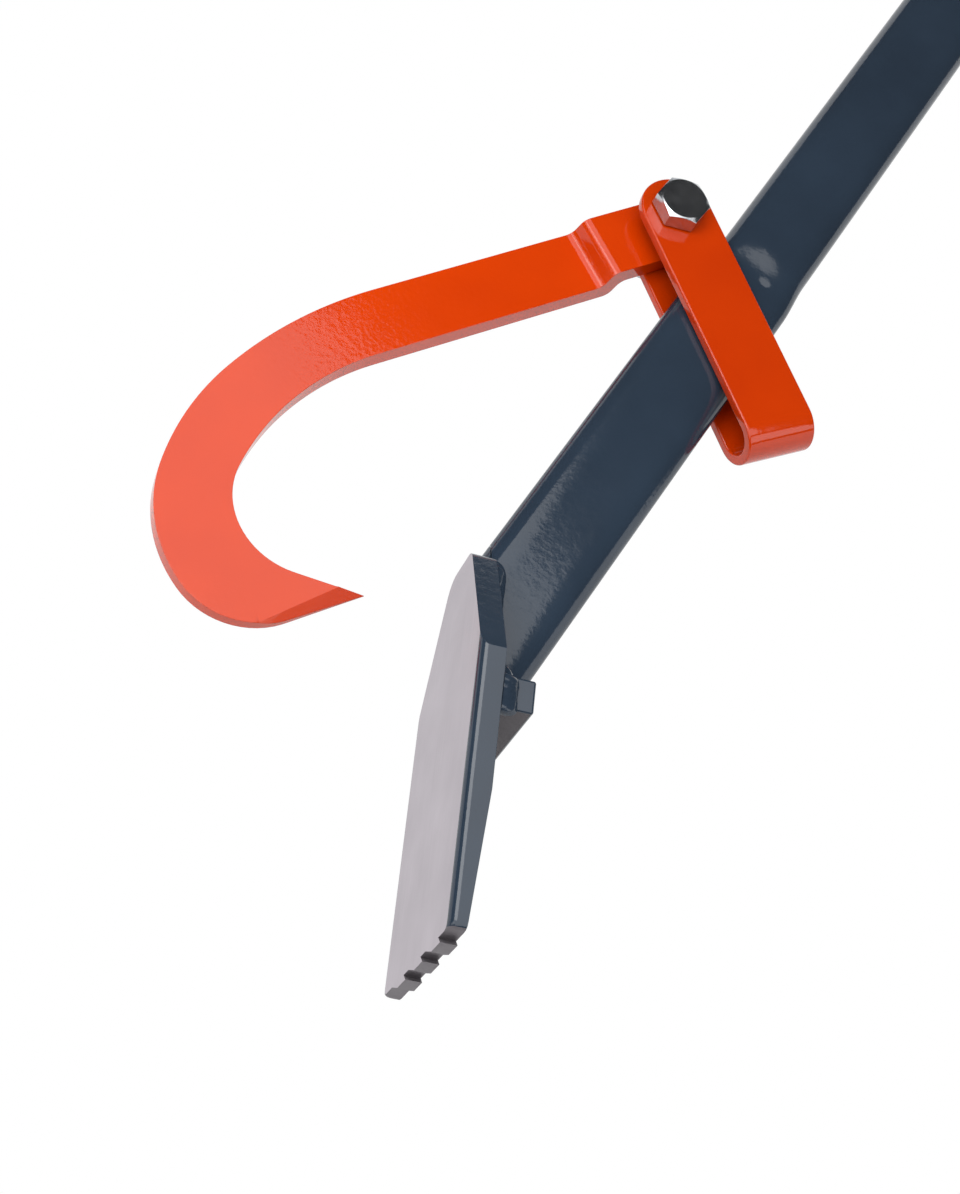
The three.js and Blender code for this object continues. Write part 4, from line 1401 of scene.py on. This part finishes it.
class TurningHook(Piece):
    """Hook cut from plate, joggled beside the eye, with a point ground on its front."""

    low_y: ClassVar[float] = HOOK.shift - HOOK.width / 2.0
    high_y: ClassVar[float] = HOOK.shift + HOOK.width / 2.0
    front: ClassVar[float] = HOOK.eye_back + HOOK.thickness
    blade_front: ClassVar[float] = front - HOOK.joggle_drop
    blade_back: ClassVar[float] = HOOK.eye_back - HOOK.joggle_drop

    def outer_run(self) -> list[Vector]:
        """Outer edge from the arm on, past the point."""
        return bend_run((HOOK.outer_start, self.low_y), HOOK.outer_bends, HOOK.point_length)

    def edges(self) -> tuple[list[Vector], list[Vector]]:
        """Outer and inner edge from the arm to the common point.

        Returns:
            Both edges as evenly spaced points.
        """
        outer = self.outer_run()
        inner = bend_run((HOOK.inner_start, self.high_y), HOOK.inner_bends, HOOK.nose_start)
        along = (inner[-1] - inner[-2]).normalized()
        nose = Matrix.Rotation(HOOK.nose_turn, 2) @ along
        tip = crossing(outer[-2], outer[-1] - outer[-2], inner[-1], nose)
        start = HOOK.joggle_start + HOOK.blade_lead
        outer = [Vector((start, self.low_y)), *outer[:-1], tip]
        inner = [Vector((start, self.high_y)), *inner, tip]
        return spaced(outer, 110), spaced(inner, 110)

    def joggle(self, start: float, top: float) -> list[Point]:
        """One face of the joggle as places along the arm and heights.

        Args:
            start: where the face leaves the eye's flat.
            top: the eye's flat height.

        Returns:
            The face's points.
        """
        angle, radius, drop = HOOK.joggle_angle, HOOK.joggle_radius, HOOK.joggle_drop
        riser = (drop - 2.0 * radius * (1.0 - math.cos(angle))) / math.sin(angle)
        end = start + 2.0 * radius * math.sin(angle) + riser * math.cos(angle)
        bend = [(radius * math.sin(t), radius * (1.0 - math.cos(t))) for t in spread(0.0, angle, 8)]
        convex = [(start + along, top - fall) for along, fall in bend]
        return convex + [(end - along, top - drop + fall) for along, fall in reversed(bend)]

    def shape(self, bm: BMesh) -> None:
        """Builds eye, joggle and blade, grinds the point and rounds the edges.

        Args:
            bm: the empty mesh to fill.
        """
        outline = eye_outline(HOOK.width / 2.0, HOOK.eye_length, HOOK.shift)
        eye_end(bm, outline, Vector((0.0, 0.0)), HOOK.hole_radius, (HOOK.eye_back, self.front))
        self._bar(bm)
        merge(bm)
        self._thin_claw(bm)
        self._grind_point(bm)
        round_edges(bm, sharp_edges(bm, BLUNT_TURN), HOOK.edge)
        bm.transform(HOOK_FRAME)

    def _bar(self, bm: BMesh) -> None:
        """Skins the bar from the eye through the joggle and brings it together at the point.

        Args:
            bm: the mesh.
        """
        shift = HOOK.thickness * math.tan(HOOK.joggle_angle / 2.0)
        upper = [(HOOK.eye_length, self.front), *self.joggle(HOOK.joggle_start, self.front)]
        lower = [(HOOK.eye_length, HOOK.eye_back), *self.joggle(HOOK.joggle_start - shift, HOOK.eye_back)]
        outer, inner = self.edges()
        low_y, high_y, front, back = self.low_y, self.high_y, self.blade_front, self.blade_back
        rows = [
            bar_section((x, low_y, z), (x, high_y, z), (x_back, low_y, z_back), (x_back, high_y, z_back))
            for (x, z), (x_back, z_back) in zip(upper, lower)
        ]
        rows += [
            bar_section((*a, front), (*b, front), (*a, back), (*b, back))
            for a, b in zip(outer[:-1], inner[:-1])
        ]
        last = skin(bm, rows, Ends.OPEN)[-1]
        top, low = (bm.verts.new((*outer[-1], z)) for z in (front, back))
        turn = BAR_STEPS + 1
        for i in range(BAR_STEPS):
            bm.faces.new((last[i], last[i + 1], top))
            bm.faces.new((last[turn + i], last[turn + i + 1], low))
        bm.faces.new((last[turn - 1], last[turn], low, top))
        bm.faces.new((last[-1], last[0], top, low))

    def _thin_claw(self, bm: BMesh) -> None:
        """Thins the claw from behind towards its outer edge.

        Args:
            bm: the hook in its own frame.
        """
        start = HOOK.thinning_start
        back = [v for v in bm.verts if abs(v.co.z - self.blade_back) < 0.001 * MM and v.co.y > start]
        reach = max(v.co.y for v in back) - start
        for vert in back:
            vert.co.z += (HOOK.thickness - HOOK.claw_thickness) * (vert.co.y - start) / reach

    def _grind_point(self, bm: BMesh) -> None:
        """Cuts the bevel along the point's outer edge.

        Args:
            bm: the hook in its own frame.
        """
        before, tip = self.outer_run()[-2:]
        heading = math.atan2(tip.y - before.y, tip.x - before.x) + HOOK.bevel_skew
        outward = flat_direction(heading - QUARTER_TURN)
        slope = (HOOK.claw_thickness - HOOK.edge_thickness) / HOOK.bevel_width
        origin = Vector((*tip, self.blade_front)) - outward * HOOK.bevel_width
        near = [face for face in bm.faces if face.calc_center_median().y > HOOK.claw_start]
        cut_away(bm, origin, (outward * slope + UP).normalized(), near)


# Assemblies


class Assembly(ABC):
    """A group of pieces that are built together."""

    @abstractmethod
    def pieces(self) -> list[Piece]:
        """Pieces of the assembly, in building order."""

    def build(self) -> list[Object]:
        """Builds every piece and hands back the objects."""
        return [piece.build() for piece in self.pieces()]


@dataclass
class LeverAssembly(Assembly):
    """Tube, foot plate, heel bar and their welds."""

    tube_leg: float = 5.5 * MM
    heel_leg: float = 5.0 * MM
    end_leg: float = 3.0 * MM
    end_overrun: float = 3.0 * MM

    def pieces(self) -> list[Piece]:
        """Pieces of the lever.

        Returns:
            The pieces.
        """
        lever, paint = Body.LEVER, Slot.LEVER_PAINT
        steels = (FACE_STEEL, TIP_STEEL)
        return [
            LeverTube("tube_visual", lever, paint, BLUE_PAINT, ("lever_tube",)),
            FootPlate("foot_visual", lever, Slot.FOOT_STEEL, BLUE_PAINT, ("foot_plate",), steels),
            HeelBar("heel_visual", lever, paint, BLUE_PAINT, ("heel_bar",), (HEEL_WEAR_AND_PAINTED_REFLECTION,)),
            TopWeld("top_weld_visual", lever, paint, BLUE_WELD, ("top_weld",)),
            *self._beads(),
        ]

    def _beads(self) -> list[Piece]:
        """Fillet beads of the tube and the heel bar, on the plate's back.

        Returns:
            The beads.
        """
        side = TUBE.low_depth / 2.0 + SEAT_GAP
        outer = FOOT.heel_length / 2.0
        top = FOOT.heel_start - SEAT_GAP
        end = top - self.heel_leg - WeldBead.ripple - SEAT_GAP
        run = FOOT_DOWN * (end - FOOT.top)
        low = FOOT.heel_start + FOOT.heel_size + self.end_overrun
        end_run = FOOT_DOWN * (low - FOOT.heel_start)
        bar_end = outer + SEAT_GAP
        across = -UP * (outer - side)
        # node, place down and across the plate, run, direction and size of the leg, rise
        beads = (
            ("tube_weld_near", end, side, -run, UP, self.tube_leg, 1.0),
            ("tube_weld_far", FOOT.top, -side, run, -UP, self.tube_leg, 1.0),
            ("heel_weld_near", top, outer, across, -FOOT_DOWN, self.heel_leg, 1.0),
            ("heel_weld_far", top, -side, across, -FOOT_DOWN, self.heel_leg, 1.0),
            ("heel_end_weld_near", low, bar_end, -end_run, UP, self.end_leg, 2.0),
            ("heel_end_weld_far", FOOT.heel_start, -bar_end, end_run, -UP, self.end_leg, 2.0),
        )
        back = FOOT_OUT * -(FOOT.thickness + SEAT_GAP)
        return [
            WeldBead(
                f"{node}_visual", Body.LEVER, Slot.LEVER_PAINT, BLUE_WELD, (node,), (),
                back + FOOT_DOWN * down + UP * up, way, leg, size, rise,
            )
            for node, down, up, way, leg, size, rise in beads
        ]


class HandleEnd(Assembly):
    """Grip sleeve and end plug."""

    def pieces(self) -> list[Piece]:
        """Pieces of the handle end."""
        return [
            GripSleeve("grip_visual", Body.LEVER, Slot.GRIP_RUBBER, GRIP_RUBBER, ("grip_sleeve",)),
            EndPlug("plug_visual", Body.LEVER, Slot.PLUG_PLASTIC, PLUG_PLASTIC, ("end_plug",)),
        ]


class PivotAssembly(Assembly):
    """Bolt, washer, lock nut, nylon ring and spacer sleeve."""

    def pieces(self) -> list[Piece]:
        """Pieces of the pivot.

        Returns:
            The pieces.
        """
        pivot, zinc = Body.PIVOT, Slot.ZINC
        pocket = PIVOT.crown_radius - PIVOT.crown_wall - SEAT_GAP
        nylon = (pocket, NUT_END, NUT_END + PIVOT.nylon_height)
        spacer = (PIVOT.spacer_radius, TurningHook.front + SEAT_GAP, STRAP.gap_half - SEAT_GAP)
        return [
            PivotBolt("bolt_visual", pivot, zinc, BOLT_ZINC, ("pivot_bolt",)),
            Washer("washer_visual", pivot, zinc, NUT_ZINC, ("nut_washer",)),
            LockNut("nut_visual", pivot, zinc, NUT_ZINC, ("lock_nut",)),
            TurnedRing("nylon_visual", pivot, Slot.NYLON, RING_NYLON, ("nylon_ring",), (), *nylon),
            TurnedRing("spacer_visual", pivot, zinc, NUT_ZINC, ("spacer_sleeve",), (), *spacer),
        ]


class GrabAssembly(Assembly):
    """Bracket strap and turning hook."""

    def pieces(self) -> list[Piece]:
        """Pieces that grab the log."""
        paint = Slot.BRACKET_PAINT
        return [
            BracketStrap("strap_visual", Body.BRACKET, paint, BRACKET_ORANGE, ("bracket_strap",)),
            TurningHook("hook_visual", Body.HOOK, Slot.HOOK_PAINT, HOOK_ORANGE, ("hook",)),
        ]


# Studio

OVERHEAD_TWIST = math.radians(-18.0)


@dataclass(frozen=True)
class SoftBox:
    """Rectangular studio light."""

    name: str
    place: tuple[float, float, float]
    aim: tuple[float, float, float]
    size: Point
    radiance: float
    twist: float = 0.0

    def build(self) -> None:
        """Adds the light to the scene, turned to its aim."""
        light = bpy.data.lights.new(self.name, "AREA")
        light.shape = "RECTANGLE"
        light.size, light.size_y = self.size
        light.energy = self.radiance * math.pi * self.size[0] * self.size[1]
        obj = new_object(self.name, light)
        obj.location = self.place
        look = (Vector(self.aim) - Vector(self.place)).to_track_quat("-Z", "Y")
        obj.rotation_mode = "QUATERNION"
        obj.rotation_quaternion = look @ Matrix.Rotation(self.twist, 4, "Z").to_quaternion()


@dataclass(frozen=True)
class Studio:
    """Pale floor, soft light and the photo's camera."""

    floor_size: float = 60.0
    floor_gap: float = 0.3 * MM
    room_strength: float = 0.09
    camera_place: tuple[float, float, float] = (-360.15, -2.69, 657.29)
    camera_right: tuple[float, float, float] = (0.5084, -0.8097, 0.2931)
    camera_up: tuple[float, float, float] = (0.6853, 0.5865, 0.4316)
    lens: float = 66.42
    lights: tuple[SoftBox, ...] = (
        SoftBox("overhead", (-0.185, 0.3, 1.25), (-0.185, 0.3, 0.0), (2.2, 2.35), 1.95, OVERHEAD_TWIST),
        SoftBox("claw_fill", (0.02, 0.22, 0.35), (0.03, 0.12, 0.0), (0.25, 0.25), 3.1),
        SoftBox("fill_left", (-1.4, 1.2, 1.0), (0.1, 0.0, 0.0), (1.2, 1.2), 1.8),
        SoftBox("low_panel", (0.1, -1.6, 0.25), (0.1, 0.0, 0.0), (2.4, 0.5), 1.1),
        SoftBox("point_card", (0.05, -1.5, 0.98), (0.02, 0.05, 0.0), (0.8, 0.6), 2.0),
    )

    def build(self) -> None:
        """Builds floor, lights, world and camera."""
        self._floor()
        for light in self.lights:
            light.build()
        self._world()
        self._camera()
        view = bpy.context.scene.view_settings
        view.view_transform = "Standard"
        view.look = "None"
        view.exposure = 0.0
        view.gamma = 1.0

    def _floor(self) -> None:
        """White floor just under the part; the eye and mirror-like paint see it evenly white."""
        place = Matrix.Translation((0.0, 0.0, START_BOUNDS[0].z - self.floor_gap))
        bm = bmesh.new()
        bmesh.ops.create_grid(bm, x_segments=1, y_segments=1, size=self.floor_size / 2.0, matrix=place)
        graph = ShaderGraph("white_floor")
        matt = graph.add("ShaderNodeBsdfDiffuse", Color=(0.9, 0.9, 0.9, 1.0))
        glow = graph.add("ShaderNodeEmission", Color=(1.0, 1.0, 1.0, 1.0), Strength=1.0)
        path = graph.add("ShaderNodeLightPath").outputs
        either = {"operation": "ADD", "use_clamp": True}
        seen = graph.add("ShaderNodeMath", either, in0=path["Is Camera Ray"], in1=path["Is Glossy Ray"])
        through = graph.add("ShaderNodeMath", either, in0=seen, in1=path["Is Transmission Ray"])
        mix = graph.add("ShaderNodeMixShader", Fac=through, in1=matt, in2=glow)
        graph.add("ShaderNodeOutputMaterial", Surface=mix)
        mesh_object("floor", bm, [graph.material])

    def _world(self) -> None:
        """Even grey room around the set."""
        world = bpy.data.worlds.new("studio")
        world.use_nodes = True
        background = world.node_tree.nodes["Background"]
        background.inputs["Color"].default_value = (0.5, 0.5, 0.5, 1.0)
        background.inputs["Strength"].default_value = self.room_strength
        bpy.context.scene.world = world

    def _camera(self) -> None:
        """Camera at the photo's place, turn and lens."""
        camera = bpy.data.cameras.new("photo_camera")
        camera.lens = self.lens
        camera.sensor_width = 36.0
        camera.sensor_fit = "AUTO"
        camera.clip_start = 0.01
        camera.clip_end = 50.0
        obj = new_object("photo_camera", camera)
        right, up = Vector(self.camera_right), Vector(self.camera_up)
        obj.matrix_world = placement(Vector(self.camera_place) * MM, right, up)
        bpy.context.scene.camera = obj


def main() -> None:
    """Builds every assembly and the studio."""
    logging.basicConfig(level=logging.INFO, format="%(name)s: %(message)s")
    for assembly in (LeverAssembly(), HandleEnd(), PivotAssembly(), GrabAssembly()):
        made = assembly.build()
        LOG.info("%s: %d pieces", type(assembly).__name__, len(made))
    Studio().build()


if __name__ == "__main__":
    main()
